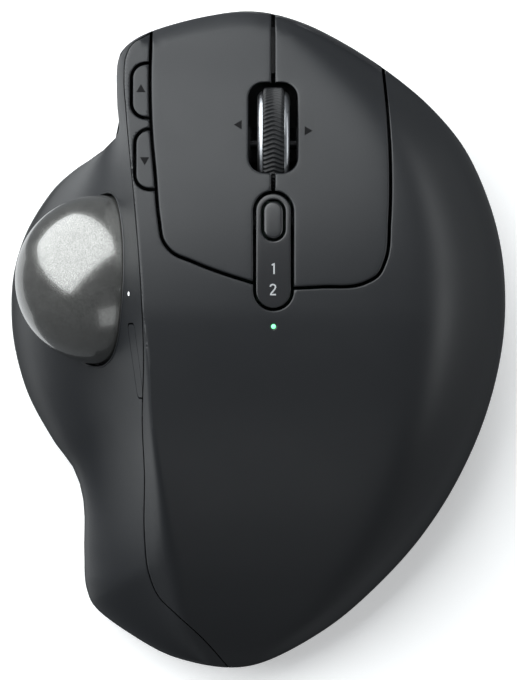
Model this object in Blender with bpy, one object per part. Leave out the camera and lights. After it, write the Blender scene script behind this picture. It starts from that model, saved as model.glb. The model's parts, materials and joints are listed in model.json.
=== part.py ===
"""A wireless thumb trackball: two shells, keys, wheel, ball, electronics and a tilting magnetic base.

Metres, +Z up. +Y is the front, +X the right-hand side, and the origin lies on the table under the body's
middle. Places are given on a design grid of 99.8 x 132.5 x 51.4 units, which X(), Y() and Z() turn into
metres, so that they follow WIDTH, LENGTH and HEIGHT. Sizes are given in metres.
"""

import math

import bmesh
import bpy
import numpy as np
from mathutils import Matrix, Vector
from mathutils.geometry import delaunay_2d_cdt

MM = 0.001

# Overall size
LENGTH = 132.5 * MM
WIDTH = 99.8 * MM
HEIGHT = 51.4 * MM

# Ball, wheel and walls
BALL_RADIUS = 17.0 * MM
BALL_GAP = 0.6 * MM
CUP_WALL = 1.6 * MM
WHEEL_RADIUS = 11.5 * MM
WHEEL_HALF_WIDTH = 3.25 * MM
TYRE_DEPTH = 1.8 * MM
TYRE_HALF_WIDTH = 2.1 * MM
SHELL_WALL = 1.8 * MM
KEY_WALL = 1.6 * MM
CASE_WALL = 1.6 * MM
SEAM_GAP = 0.3 * MM
PARTING_GAP = 0.4 * MM
KEY_GAP = 0.6 * MM
CENTRE_GAP = 0.8 * MM
CLEARANCE = 0.3 * MM
KEY_DROP = 1.5 * MM
WHEEL_GAP = 0.9 * MM
WHEEL_SIDE_ROOM = 1.7 * MM
RIM_HEIGHT = 1.2 * MM
KEY_TRAVEL = 0.8 * MM
SWITCH_HEIGHT = 6.5 * MM
LEG_RADIUS = 2.2 * MM
CUP_GAP = 0.5 * MM
BALL_FLOOR = 1.7 * MM

# Base
PAD_THICKNESS = 0.8 * MM
PLATE_THICKNESS = 1.2 * MM
CASE_UNDERSIDE = PAD_THICKNESS + PLATE_THICKNESS + 0.7 * MM
HINGE_HEIGHT = CASE_UNDERSIDE + 2.3 * MM
TILT = math.radians(20)
PIN_RADIUS = 1.0 * MM
EJECT_RADIUS = 5.5 * MM
BEND_OFFSET = 1.0 * MM

DESIGN_WIDTH, DESIGN_LENGTH, DESIGN_HEIGHT = 99.8, 132.5, 51.4
GRID = 5.0 * MM


def X(x):
    return x * WIDTH / DESIGN_WIDTH


def Y(y):
    return y * LENGTH / DESIGN_LENGTH


def Z(z):
    return z * HEIGHT / DESIGN_HEIGHT


# Places
BALL = np.array([X(-31.96), Y(12.16), CASE_UNDERSIDE + CASE_WALL + BALL_FLOOR + BALL_RADIUS])
BALL_INWARD = np.array([0.866, 0.0, -0.5])
CUP_INNER = BALL_RADIUS + CUP_GAP
CUP_OUTER = CUP_INNER + CUP_WALL
WHEEL = np.array([X(3.1), Y(39.3), Z(31.9)])
HINGE_X = X(18.0)
HINGE_AT = {"front": Y(33.0), "rear": Y(-30.0)}
SWITCH_AT = (X(-20.0), Y(-36.0))
FRAME_LOW = Z(23.0)
FRAME_TOP = FRAME_LOW + 1.5 * MM
BOARD_LOW = CASE_UNDERSIDE + CASE_WALL + 1.3 * MM
BOARD_TOP = BOARD_LOW + 1.2 * MM
KEY_HINGE = {"left": (X(-9.0), Y(17.0), Z(46.0)), "right": (X(15.0), Y(12.5), Z(45.5))}
KEY_SWITCH = {"left": (X(-11.0), Y(45.0)), "right": (X(18.0), Y(42.0))}
USB = (X(3.0), Y(53.5))
MAGNETS = {"left": (X(-26.0), Y(-14.0)), "right": (X(31.0), Y(2.0))}
LED_RADIUS = 0.55 * MM
TILT_PIN_RADIUS = 0.7 * MM
LENS_RADIUS = 2.1 * MM
BEARING_RADIUS = 1.2 * MM
BESIDE_CUP = CUP_OUTER + LEG_RADIUS + 2.0 * MM
LEGS = [
    (BALL[0] + 0.6426 * BESIDE_CUP, BALL[1] + 0.7662 * BESIDE_CUP),
    (X(-16.0), Y(50.0)),
    (X(15.4), Y(17.0)),
    (X(15.4), Y(47.0)),
]
WALL_OUT = np.array([-0.94, 0.0, 0.33])

# Curves in plan, on the design grid, as (x, y)
OUTLINE = [
    (-1.0, 66.2), (-10.9, 65.1), (-21.1, 62.3), (-26.4, 59.3), (-28.3, 55.5), (-28.4, 48.0),
    (-28.2, 42.0), (-31.4, 38.2), (-37.2, 34.2), (-41.8, 29.8), (-46.6, 22.1), (-49.2, 14.0),
    (-49.8, 6.0), (-49.0, -2.0), (-46.3, -11.2), (-41.4, -20.2), (-37.2, -26.1), (-35.2, -33.0),
    (-35.1, -43.0), (-34.6, -50.3), (-31.6, -55.3), (-21.1, -62.3), (-13.7, -65.1), (-5.6, -66.3),
    (1.4, -65.1), (10.5, -60.5), (19.1, -54.3), (29.3, -44.2), (36.8, -34.2), (42.6, -23.5),
    (46.6, -13.0), (49.1, -2.0), (49.8, 8.0), (49.0, 18.1), (46.4, 28.1), (41.8, 38.2),
    (35.4, 46.2), (27.7, 52.9), (18.1, 59.3), (8.4, 64.1),
]
SEAM = [
    (-18.0, 68.0), (-21.8, 61.7), (-25.4, 59.4), (-26.6, 56.9), (-26.9, 53.0), (-26.5, 46.0),
    (-25.8, 38.0), (-25.0, 30.0), (-24.2, 21.0), (-23.3, 8.0), (-22.9, -4.0), (-23.2, -16.7),
    (-22.8, -27.0), (-22.8, -40.0), (-22.0, -47.0), (-20.0, -51.8), (-16.8, -55.0), (-11.0, -60.4),
    (-4.5, -68.0),
]
LEFT_KEY_GAP = [
    (-21.5, 69.0), (-21.5, 62.0), (-21.7, 52.0), (-21.4, 42.0), (-20.6, 33.0), (-19.8, 24.0),
    (-18.9, 19.6), (-17.4, 17.7), (-13.0, 15.6), (-1.0, 11.4), (3.1, 10.2),
]
RIGHT_KEY_GAP = [
    (3.1, 10.2), (12.5, 10.6), (21.4, 11.4), (24.0, 12.9), (25.5, 15.8), (26.4, 24.0),
    (26.6, 34.0), (26.2, 44.0), (25.2, 55.0), (24.2, 69.0),
]
PLATE = [
    (-4.0, 56.0), (16.0, 50.0), (31.0, 35.0), (38.5, 15.0), (37.5, -8.0), (30.0, -28.0),
    (16.0, -45.0), (0.0, -56.0), (-18.0, -55.0), (-28.0, -44.0), (-29.0, -28.0), (-38.0, -13.0),
    (-43.0, 3.0), (-41.5, 18.0), (-31.0, 31.0), (-23.0, 42.0), (-20.0, 52.0),
]

# Heights along the body, on the design grid, as (y, value)
RIDGE_HEIGHT = [
    (-66, 9.0), (-60, 17.0), (-50, 26.8), (-40, 34.6), (-30, 41.0), (-20, 46.0), (-10, 49.3), (0, 51.1),
    (5, 51.45), (10, 51.1), (20, 49.4), (30, 46.5), (40, 42.5), (50, 37.5), (60, 31.0), (66, 27.0),
]
RIDGE_X = [
    (-66, -10.0), (-60, -14.0), (-45, -18.0), (-30, -20.0), (-16, -21.5), (-3, -22.2), (6, -23.1),
    (20, -24.1), (31, -25.1), (46, -26.5), (53, -26.8), (57, -26.4), (59.4, -25.3), (62, -21.8), (66, -17.0),
]
RIGHT_PARTING = [
    (-66, 7.5), (-50, 9.5), (-30, 12.5), (-10, 15.0), (10, 17.0), (30, 18.5), (50, 20.0), (66, 21.0),
]
LEFT_PARTING = [
    (-66, 7.5), (-50, 7.0), (-20, 6.5), (10, 6.5), (30, 7.0), (40, 8.5), (50, 14.0), (60, 19.0), (66, 21.0),
]
RIDGE_BLEND = [(-66, 4.0), (-30, 4.0), (-12, 2.0), (4, 0.4), (66, 0.4)]
FLANK_POWER = [
    (-66, 1.3), (-45, 1.4), (-20, 1.8), (0, 1.9), (30, 1.9), (38, 1.5), (45, 0.6), (52, 0.4), (66, 0.4),
]
PINKY_RIDGE = 0.84
NOSE = 3.6


def smooth(table, at):
    """The smooth curve through a table's (place, value) pairs, held at its ends."""
    places, values = np.array(sorted(table), float).T
    slopes = np.gradient(values, places)
    at = np.clip(at, places[0], places[-1])
    i = np.clip(np.searchsorted(places, at) - 1, 0, len(places) - 2)
    step = places[i + 1] - places[i]
    t = (at - places[i]) / step
    start = (2 * t**3 - 3 * t**2 + 1) * values[i] + (t**3 - 2 * t**2 + t) * step * slopes[i]
    end = (3 * t**2 - 2 * t**3) * values[i + 1] + (t**3 - t**2) * step * slopes[i + 1]
    return start + end


def closed_curve(points, count):
    """A closed smooth curve through the points, at even steps along it."""
    ring = np.array(points, float)
    before, after, later = np.roll(ring, 1, 0), np.roll(ring, -1, 0), np.roll(ring, -2, 0)
    t = np.linspace(0, 1, 16, endpoint=False)[None, :, None]
    a, b, c, d = before[:, None], ring[:, None], after[:, None], later[:, None]
    fine = 0.5 * (2 * b + (c - a) * t + (2 * a - 5 * b + 4 * c - d) * t**2 + (3 * b - a - 3 * c + d) * t**3)
    fine = fine.reshape(-1, 2)
    fine = np.vstack([fine, fine[:1]])
    run = np.concatenate([[0], np.cumsum(np.linalg.norm(np.diff(fine, axis=0), axis=1))])
    at = np.linspace(0, run[-1], count, endpoint=False)
    return np.column_stack([np.interp(at, run, fine[:, 0]), np.interp(at, run, fine[:, 1])])


def body_outline(count):
    """The body's outline on the design grid, fitted to the design width and length about the origin."""
    ring = closed_curve(OUTLINE, count)
    low, high = ring.min(0), ring.max(0)
    return (ring - (low + high) / 2) * np.array([DESIGN_WIDTH, DESIGN_LENGTH]) / (high - low)


def distance_to(line, x, y):
    """The distance from each point to a polyline."""
    start, end = line[:-1], line[1:]
    along = end - start
    point = np.stack([x, y], -1)[..., None, :]
    share = ((point - start) * along).sum(-1) / (along**2).sum(-1)
    nearest = start + np.clip(share, 0, 1)[..., None] * along
    return np.linalg.norm(point - nearest, axis=-1).min(-1)


def inside(polygon, x, y):
    """Whether each point lies in a polygon."""
    x0, y0 = polygon.T
    x1, y1 = np.roll(polygon, -1, 0).T
    x, y = x[..., None], y[..., None]
    with np.errstate(divide="ignore", invalid="ignore"):
        cross = x < x0 + (y - y0) * (x1 - x0) / (y1 - y0)
    return (((y0 > y) != (y1 > y)) & cross).sum(-1) % 2 == 1


BODY = body_outline(160)
REAR = int(np.argmin(BODY[:, 1]))
FRONT_LEFT = int(np.argmin(np.hypot(BODY[:, 0] + 21.1, BODY[:, 1] - 62.3)))
LEFT_EDGE = BODY[FRONT_LEFT : REAR + 1]
OTHER_EDGE = np.vstack([BODY[REAR:], BODY[: FRONT_LEFT + 1]])
RIGHT_EDGE = BODY[REAR:][np.argsort(BODY[REAR:, 1])]


def parting(x, y):
    """The height where the shells meet the bottom case, on the design grid."""
    share = np.clip((x + 34) / 60, 0, 1)
    share = share * share * (3 - 2 * share)
    return smooth(LEFT_PARTING, y) * (1 - share) + smooth(RIGHT_PARTING, y) * share


def fall(t):
    """How far the palm has fallen at a share t of the way from its ridge to the right edge."""

    def curve(t):
        bend = 0.035
        return bend * np.logaddexp(0, (t - PINKY_RIDGE) / bend)

    slope = (1 - 0.18 - 0.20) / curve(1.0)
    return 0.18 * t + 0.20 * t * np.abs(t) + slope * curve(t)


def dome(x, y):
    """The palm's own surface, on the design grid."""
    ridge, ridge_x = smooth(RIDGE_HEIGHT, y), smooth(RIDGE_X, y)
    right_x = np.interp(y, RIGHT_EDGE[:, 1], RIGHT_EDGE[:, 0])
    width = np.maximum(right_x - ridge_x, 12)
    drop = ridge - smooth(RIGHT_PARTING, y) - 1.0
    return ridge - drop * fall((x - ridge_x) / width)


def flank(x, y):
    """The thumb side's hollow surface, from the ridge down to the left edge, on the design grid."""
    ridge_x = smooth(RIDGE_X, y)
    places = np.linspace(66, -66, 67)
    ridge = np.column_stack([smooth(RIDGE_X, places), places])
    from_ridge = distance_to(ridge, x, y) * np.where(x < ridge_x, 1, -1)
    from_edge = distance_to(LEFT_EDGE, x, y)
    share = from_ridge / np.maximum(np.abs(from_ridge) + from_edge, 0.01)
    foot = smooth(LEFT_PARTING, y) + 0.7
    top = dome(ridge_x, y)
    return foot + (top - foot) * np.maximum(1 - share, 0) ** smooth(FLANK_POWER, y)


def surface(x, y):
    """The body's outer surface in metres at points in metres, and far below outside the outline."""
    u, v = x * DESIGN_WIDTH / WIDTH, y * DESIGN_LENGTH / LENGTH
    palm, thumb = dome(u, v), flank(u, v)
    blend = smooth(RIDGE_BLEND, v)
    near = np.maximum(blend - np.abs(palm - thumb), 0) / blend
    height = np.minimum(palm, thumb) - near**2 * blend / 4
    foot = parting(u, v) + 0.7
    turn = np.clip(distance_to(OTHER_EDGE, u, v) / NOSE, 0, 1)
    rise = np.sqrt(1 - (1 - turn) ** 2)
    height = foot + np.maximum(height - foot, 0) * rise
    on_body = inside(BODY, u, v) | (turn < 0.1) | (distance_to(LEFT_EDGE, u, v) < 0.4)
    return Z(np.where(on_body, height, -90))


def palm_top(x, y):
    """The palm's and the keys' outer surface in metres, without the thumb side."""
    u, v = x * DESIGN_WIDTH / WIDTH, y * DESIGN_LENGTH / LENGTH
    foot = parting(u, v) + 0.7
    turn = np.clip(distance_to(OTHER_EDGE, u, v) / NOSE, 0, 1)
    height = foot + np.maximum(dome(u, v) - foot, 0) * np.sqrt(1 - (1 - turn) ** 2)
    outside = ~inside(BODY, u, v) & (u > smooth(RIDGE_X, v)) & (turn > 0.05)
    return Z(np.where(outside, -90, height))


def inner(outer, x, y, wall):
    """The surface a wall's thickness inside another."""
    lowest = outer(x, y) - wall
    for reach in (0.5, 0.85, 1.0):
        for angle in np.arange(12) * math.tau / 12:
            shift_x, shift_y = wall * reach * math.cos(angle), wall * reach * math.sin(angle)
            lowest = np.minimum(lowest, outer(x + shift_x, y + shift_y) - wall * math.sqrt(1 - reach**2))
    return lowest


def parting_height(x, y):
    return Z(parting(x * DESIGN_WIDTH / WIDTH, y * DESIGN_LENGTH / LENGTH))


def case_outer(x, y):
    """The underside of the bottom case: a bowl with a flat floor, sloped beside the hinge."""
    u, v = x * DESIGN_WIDTH / WIDTH, y * DESIGN_LENGTH / LENGTH
    edge = np.vstack([BODY, BODY[:1]])
    inward = np.clip(1 - distance_to(edge, u, v) / 5.0, 0, 1)
    rim = parting_height(x, y) - RIM_HEIGHT
    bowl = CASE_UNDERSIDE + (rim - CASE_UNDERSIDE) * inward**2
    slope = CASE_UNDERSIDE + np.maximum(x - HINGE_X - BEND_OFFSET, 0) * math.tan(TILT)
    return np.minimum(np.maximum(bowl, slope), rim)


def case_inner(x, y):
    """The inside of the bottom case, no higher than where the shells meet it."""
    highest = case_outer(x, y) + CASE_WALL
    for angle in np.arange(12) * math.tau / 12:
        shift_x, shift_y = CASE_WALL * math.cos(angle), CASE_WALL * math.sin(angle)
        highest = np.maximum(highest, case_outer(x + shift_x, y + shift_y))
    return np.minimum(highest, parting_height(x, y) - PARTING_GAP)


# Making solids


def material(name, colour, roughness, metallic=0.0):
    made = bpy.data.materials.new(name)
    made.use_nodes = True
    shader = made.node_tree.nodes["Principled BSDF"]
    shader.inputs["Base Color"].default_value = (*colour, 1)
    shader.inputs["Roughness"].default_value = roughness
    shader.inputs["Metallic"].default_value = metallic
    made.diffuse_color = (*colour, 1)
    return made


def add(name, bm, look, origin=(0, 0, 0), helper=False):
    """The bmesh as an object whose origin lies at a point; a helper only cuts other objects."""
    bmesh.ops.recalc_face_normals(bm, faces=bm.faces)
    origin = Vector([float(value) for value in origin])
    bmesh.ops.translate(bm, verts=bm.verts, vec=-origin)
    mesh = bpy.data.meshes.new(name)
    bm.to_mesh(mesh)
    bm.free()
    mesh.shade_smooth()
    mesh.set_sharp_from_angle(angle=math.radians(35))
    obj = bpy.data.objects.new(name, mesh)
    obj.location = origin
    bpy.context.collection.objects.link(obj)
    if look:
        mesh.materials.append(look)
    if helper:
        obj.hide_render = True
        obj.display_type = "WIRE"
    return obj


def combine(obj, other, operation):
    """A Boolean of an object with a helper: DIFFERENCE, UNION or INTERSECT."""
    boolean = obj.modifiers.new(f"{operation.lower()} {other.name}", "BOOLEAN")
    boolean.operation = operation
    boolean.solver = "EXACT"
    boolean.object = other


def sheet(name, within, without, top, bottom, look, grid=GRID, rings=(), creases=(), helper=False,
          origin=(0, 0, 0)):
    """A solid between two surfaces, over the region in all the first polygons and none of the others.

    Its triangles follow the polygons, the creases and the rings, which are the first polygon moved inwards.
    """
    loops = list(within) + list(without)
    points = np.vstack(loops)
    edges, start = [], 0
    for loop in loops:
        edges += [(start + i, start + (i + 1) % len(loop)) for i in range(len(loop))]
        start += len(loop)
    for crease in creases:
        points = np.vstack([points, crease])
        edges += [(start + i, start + i + 1) for i in range(len(crease) - 1)]
        start += len(crease)
    low, high = within[0].min(0), within[0].max(0)
    grid_x, grid_y = np.meshgrid(np.arange(low[0], high[0], grid), np.arange(low[1], high[1], grid))
    free = np.column_stack([grid_x.ravel(), grid_y.ravel()])
    closed = [np.vstack([loop, loop[:1]]) for loop in loops] + list(creases)
    gap = np.min([distance_to(loop, *free.T) for loop in closed], axis=0)
    free = free[gap > 0.35 * grid]
    for ring in rings:
        inset = offset_loop(within[0], ring)
        gap = np.min([distance_to(loop, *inset.T) for loop in closed], axis=0)
        inset = inset[gap > 0.95 * ring]
        crowded = distance_to(np.vstack([inset, inset[:1]]), *free.T) < 0.35 * grid
        free = np.vstack([free[~crowded], inset])
    points = np.vstack([points, free]) / MM
    found = delaunay_2d_cdt([Vector(point) for point in points.tolist()], edges, [], 0, 1e-4)
    flat = np.array([tuple(point) for point in found[0]]) * MM
    faces = np.array(found[2])
    centre = flat[faces].mean(1)
    kept = np.ones(len(faces), bool)
    for loop in within:
        kept &= inside(loop, *centre.T)
    for loop in without:
        kept &= ~inside(loop, *centre.T)
    faces = faces[kept]
    used = np.unique(faces)
    place = np.full(len(flat), -1)
    place[used] = np.arange(len(used))
    faces, flat = place[faces], flat[used]
    upper = top(*flat.T)
    lower = np.minimum(bottom(*flat.T), upper - 0.4 * MM)
    bm = bmesh.new()
    above = [bm.verts.new((x, y, z)) for (x, y), z in zip(flat, upper)]
    below = [bm.verts.new((x, y, z)) for (x, y), z in zip(flat, lower)]
    sides = {}
    for a, b, c in faces:
        bm.faces.new((above[a], above[b], above[c]))
        bm.faces.new((below[c], below[b], below[a]))
        for pair in ((a, b), (b, c), (c, a)):
            sides[pair] = True
    for a, b in sides:
        if (b, a) not in sides:
            bm.faces.new((above[b], above[a], below[a], below[b]))
    return add(name, bm, look, origin, helper)


def offset_loop(loop, distance):
    """A closed loop moved inwards by a distance."""
    ahead, behind = np.roll(loop, -1, 0), np.roll(loop, 1, 0)
    along = ahead - behind
    along /= np.linalg.norm(along, axis=1)[:, None]
    area = (loop[:, 0] * ahead[:, 1] - ahead[:, 0] * loop[:, 1]).sum()
    normal = np.column_stack([-along[:, 1], along[:, 0]]) * math.copysign(1, area)
    return loop + normal * distance


def offset_line(line, distance):
    """A polyline moved to its left by a distance."""
    along = np.gradient(line, axis=0)
    along /= np.linalg.norm(along, axis=1)[:, None]
    return line + np.column_stack([-along[:, 1], along[:, 0]]) * distance


def smooth_line(points, count):
    """A smooth open line through design-grid points, in metres."""
    line = np.array(points, float)
    run = np.concatenate([[0], np.cumsum(np.linalg.norm(np.diff(line, axis=0), axis=1))])
    at = np.linspace(0, run[-1], count)
    x = smooth(list(zip(run, line[:, 0])), at)
    y = smooth(list(zip(run, line[:, 1])), at)
    return np.column_stack([X(x), Y(y)])


def capsule(x, y, width, length, steps=8):
    """A slot with round ends, along Y."""
    radius = width / 2
    turn = np.linspace(0, math.pi, steps + 1)
    ends = [(x + radius * math.cos(a), y + (length / 2 - radius) + radius * math.sin(a)) for a in turn]
    ends += [(x - radius * math.cos(a), y - (length / 2 - radius) - radius * math.sin(a)) for a in turn]
    return np.array(ends)


def circle(x, y, radius, steps=20):
    turn = np.arange(steps) * math.tau / steps
    return np.column_stack([x + radius * np.cos(turn), y + radius * np.sin(turn)])


def rectangle(x0, y0, x1, y1):
    return np.array([(x0, y0), (x1, y0), (x1, y1), (x0, y1)])


def level(height):
    return lambda x, y: np.full(np.shape(x), float(height))


def block(name, low, high, look, bevel=0.0, helper=False, origin=None):
    """A box between two corners."""
    low, high = np.minimum(low, high), np.maximum(low, high)
    bm = bmesh.new()
    bmesh.ops.create_cube(bm, size=1)
    bmesh.ops.scale(bm, verts=bm.verts, vec=Vector((high - low).tolist()))
    bmesh.ops.translate(bm, verts=bm.verts, vec=Vector(((low + high) / 2).tolist()))
    if bevel:
        bmesh.ops.bevel(bm, geom=bm.edges[:], offset=bevel, segments=1, affect="EDGES")
    return add(name, bm, look, (low + high) / 2 if origin is None else origin, helper)


def rod(name, start, end, radius, look, steps=16, helper=False, origin=None):
    """A round bar between two points."""
    start, end = Vector([float(v) for v in start]), Vector([float(v) for v in end])
    bm = bmesh.new()
    length = (end - start).length
    bmesh.ops.create_cone(bm, cap_ends=True, segments=steps, radius1=radius, radius2=radius, depth=length)
    turn = (end - start).to_track_quat("Z", "Y").to_matrix().to_4x4()
    bmesh.ops.transform(bm, verts=bm.verts, matrix=Matrix.Translation((start + end) / 2) @ turn)
    return add(name, bm, look, (start + end) / 2 if origin is None else origin, helper)


def globe(name, centre, radius, look, steps=16, helper=False):
    bm = bmesh.new()
    bmesh.ops.create_uvsphere(bm, u_segments=steps, v_segments=steps // 2, radius=radius)
    bmesh.ops.translate(bm, verts=bm.verts, vec=Vector([float(v) for v in centre]))
    return add(name, bm, look, centre, helper)


def turned(name, centre, profile, look, steps=40):
    """A closed ring about X through a centre, from a profile of (along X, radius) points."""
    bm = bmesh.new()
    rows = []
    for i in range(steps):
        angle = math.tau * i / steps
        rows.append([bm.verts.new((x, r * math.sin(angle), r * math.cos(angle))) for x, r in profile])
    for i in range(steps):
        row, following = rows[i], rows[(i + 1) % steps]
        for j in range(len(profile)):
            k = (j + 1) % len(profile)
            bm.faces.new((row[j], row[k], following[k], following[j]))
    bmesh.ops.translate(bm, verts=bm.verts, vec=Vector([float(v) for v in centre]))
    return add(name, bm, look, centre)


# Looks
SHELL_LOOK = (0.045, 0.047, 0.052)


def looks():
    return {
        "graphite": material("graphite", SHELL_LOOK, 0.5),
        "gloss": material("gloss", (0.02, 0.02, 0.023), 0.25),
        "dark": material("dark plastic", (0.02, 0.02, 0.02), 0.6),
        "rubber": material("rubber", (0.015, 0.015, 0.015), 0.8),
        "ball": material("speckled ball", (0.16, 0.17, 0.18), 0.2, 0.4),
        "steel": material("steel", (0.45, 0.46, 0.48), 0.35, 1.0),
        "board": material("circuit board", (0.02, 0.09, 0.05), 0.5),
        "ceramic": material("white ceramic", (0.8, 0.8, 0.78), 0.3),
        "cell": material("battery wrap", (0.25, 0.27, 0.3), 0.4),
        "green": material("green light", (0.1, 0.8, 0.3), 0.3),
        "white": material("white light", (0.9, 0.9, 0.9), 0.3),
    }


# Regions in plan, in metres
EDGE = body_outline(104) * np.array([X(1.0), Y(1.0)])
FAR = 90.0
SEAM_LINE = smooth_line(SEAM, 44)
MODE_X, MODE_Y, MODE_WIDTH, MODE_LENGTH = X(3.1), Y(17.85), 8.2 * MM, 24.1 * MM
CENTRE_X = X(3.05)
SLOT_FRONT = WHEEL[1] + WHEEL_RADIUS + 0.95 * MM
SLOT_REAR = WHEEL[1] - WHEEL_RADIUS / 2 - 0.1 * MM
SLOT_WIDTH = 2 * (WHEEL_HALF_WIDTH + WHEEL_SIDE_ROOM)
WHEEL_SLOT = capsule(X(3.0), (SLOT_FRONT + SLOT_REAR) / 2, SLOT_WIDTH, SLOT_FRONT - SLOT_REAR)
MODE_HOLE = capsule(MODE_X, MODE_Y, MODE_WIDTH, MODE_LENGTH)
MODE_BUTTON_Y = Y(24.0)
BATTERY_LED_AT = (X(3.1), Y(2.7))
THUMB_LED_AT = (X(-26.0), Y(9.25))
BUTTONS = {"forward": (44.8, 55.3, -25.1, -22.1), "back": (30.4, 42.0, -24.4, -21.4)}
BUTTON_CORNER = 2.0 * MM
BUTTON_DEPTH = 2.2 * MM


def ridge_line(aside):
    """The ridge between palm and thumb side, moved towards the palm by a distance."""
    y = np.linspace(61, -62, 36)
    return np.column_stack([X(smooth(RIDGE_X, y)) + aside, Y(y)])


def side_of_seam(thumb, gap):
    """A polygon that takes in everything on one side of the seam between the shells."""
    far_x = -FAR * MM if thumb else FAR * MM
    line = offset_line(SEAM_LINE, -gap if thumb else gap)
    return np.vstack([line, [(far_x, line[-1, 1]), (far_x, line[0, 1])]])


def key_area(gap):
    """The polygon of both keys, moved inwards from their outer gaps by a distance."""
    left = offset_line(smooth_line(LEFT_KEY_GAP, 30), gap)
    right = offset_line(smooth_line(RIGHT_KEY_GAP, 26), gap)
    left = left[left[:, 0] < CENTRE_X]
    right = right[right[:, 0] > CENTRE_X]
    return np.vstack([left, right])


def button_outline(name, grow):
    """A thumb-side button's outline, open to the left key's gap when grown."""
    low, high, left, right = BUTTONS[name]
    low, high, left = Y(low) - grow, Y(high) + grow, X(left) - grow
    right = X(right) if grow <= 0 else X(-19.0)
    radius = BUTTON_CORNER
    turn = np.linspace(0, math.pi / 2, 5)
    upper = [(left + radius * (1 - math.sin(a)), high - radius * (1 - math.cos(a))) for a in turn]
    lower = [(left + radius * (1 - math.cos(a)), low + radius * (1 - math.sin(a))) for a in turn]
    return np.array([(right, high)] + upper + lower + [(right, low)])


# Base


def make_base(look):
    """The tilting base: a rubber pad, a steel plate with two lugs, and the hinge pins through them."""
    outline = closed_curve(PLATE, 56) * np.array([X(1.0), Y(1.0)])
    eject = circle(BALL[0], BALL[1], EJECT_RADIUS + 1.5 * MM)
    slot = capsule(*SWITCH_AT, 3.8 * MM, 8.0 * MM)
    plate_low = PAD_THICKNESS + CLEARANCE
    plate_top = plate_low + PLATE_THICKNESS
    sheet("base_pad", [outline], [eject, slot], level(PAD_THICKNESS), level(0), look["rubber"], 14 * MM)
    plate_outline = offset_loop(outline, 0.8 * MM)
    plate = sheet("base_plate", [plate_outline], [eject, slot], level(plate_top), level(plate_low),
                  look["steel"], 14 * MM)
    for name, y in HINGE_AT.items():
        low = (HINGE_X - 2.0 * MM, y - 1.0 * MM, plate_top - 0.6 * MM)
        high = (HINGE_X + 2.0 * MM, y + 1.0 * MM, HINGE_HEIGHT + 2.0 * MM)
        lug = block(f"lug_{name}", low, high, None, helper=True)
        bore = rod(f"lug_bore_{name}", (HINGE_X, y - 3 * MM, HINGE_HEIGHT),
                   (HINGE_X, y + 3 * MM, HINGE_HEIGHT), PIN_RADIUS + CLEARANCE, None, helper=True)
        combine(plate, lug, "UNION")
        combine(plate, bore, "DIFFERENCE")
        rod(f"hinge_pin_{name}", (HINGE_X, y - 4.2 * MM, HINGE_HEIGHT), (HINGE_X, y + 4.2 * MM, HINGE_HEIGHT),
            PIN_RADIUS, look["steel"])


# Housing


def make_case(look):
    """The bottom case, with hinge bosses and its openings."""
    eject = circle(BALL[0], BALL[1], EJECT_RADIUS + 0.5 * MM)
    switch = capsule(*SWITCH_AT, 3.4 * MM, 7.0 * MM)
    windows = [rectangle(HINGE_X - 4 * MM, y - 1.6 * MM, HINGE_X + 4 * MM, y + 1.6 * MM)
               for y in HINGE_AT.values()]
    along = Y(np.linspace(-60, 62, 50))
    bend = np.column_stack([np.full(len(along), HINGE_X + BEND_OFFSET), along])
    case = sheet("bottom_case", [EDGE], [eject, switch] + windows, case_inner, case_outer,
                 look["dark"], 8 * MM, rings=(1.7 * MM, 3.3 * MM, 5.1 * MM), creases=[bend])
    for name, y in HINGE_AT.items():
        for side in (-1, 1):
            low = (HINGE_X - 2.4 * MM, y + side * 1.9 * MM, CASE_UNDERSIDE + 0.6 * MM)
            high = (HINGE_X + 2.4 * MM, y + side * 4.6 * MM, HINGE_HEIGHT + 2.4 * MM)
            combine(case, block(f"boss_{name}_{side}", low, high, None, helper=True), "UNION")
        bore = rod(f"boss_bore_{name}", (HINGE_X, y - 4.55 * MM, HINGE_HEIGHT),
                   (HINGE_X, y + 4.55 * MM, HINGE_HEIGHT), PIN_RADIUS + CLEARANCE, None, helper=True)
        combine(case, bore, "DIFFERENCE")
    for i, (x, y) in enumerate(LEGS, 1):
        head = rod(f"screw_seat_{i}", (x, y, CASE_UNDERSIDE - 2 * MM), (x, y, CASE_UNDERSIDE + 0.8 * MM),
                   1.9 * MM, None, helper=True)
        hole = rod(f"screw_hole_{i}", (x, y, CASE_UNDERSIDE), (x, y, CASE_UNDERSIDE + 4 * MM),
                   1.1 * MM, None, helper=True)
        combine(case, head, "DIFFERENCE")
        combine(case, hole, "DIFFERENCE")
    port = block("port_opening", (USB[0] - 4.6 * MM, USB[1], BOARD_TOP),
                 (USB[0] + 4.6 * MM, Y(75), BOARD_TOP + 3.9 * MM), None, 0.8 * MM, helper=True)
    combine(case, port, "DIFFERENCE")


def make_screws(look):
    for i, (x, y) in enumerate(LEGS, 1):
        screw = rod(f"case_screw_{i}", (x, y, CASE_UNDERSIDE - 0.2 * MM), (x, y, CASE_UNDERSIDE + 0.5 * MM),
                    1.6 * MM, look["steel"])
        shank = rod(f"shank_{i}", (x, y, CASE_UNDERSIDE), (x, y, CASE_UNDERSIDE + 7 * MM), 0.7 * MM, None,
                    helper=True)
        slot = block(f"slot_{i}", (x - 1.2 * MM, y - 0.2 * MM, CASE_UNDERSIDE - 1 * MM),
                     (x + 1.2 * MM, y + 0.2 * MM, CASE_UNDERSIDE + 0.1 * MM), None, helper=True)
        combine(screw, shank, "UNION")
        combine(screw, slot, "DIFFERENCE")


def height_at(function, x, y):
    """A height function's value at one point."""
    return float(function(np.array([x]), np.array([y]))[0])


def button_axis():
    """The precision button's centre and the way out of the wall there."""
    x, y = X(-24.5), Y(-4.2)
    return Vector((x, y, height_at(surface, x, y))), Vector(WALL_OUT.tolist()).normalized()


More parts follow.
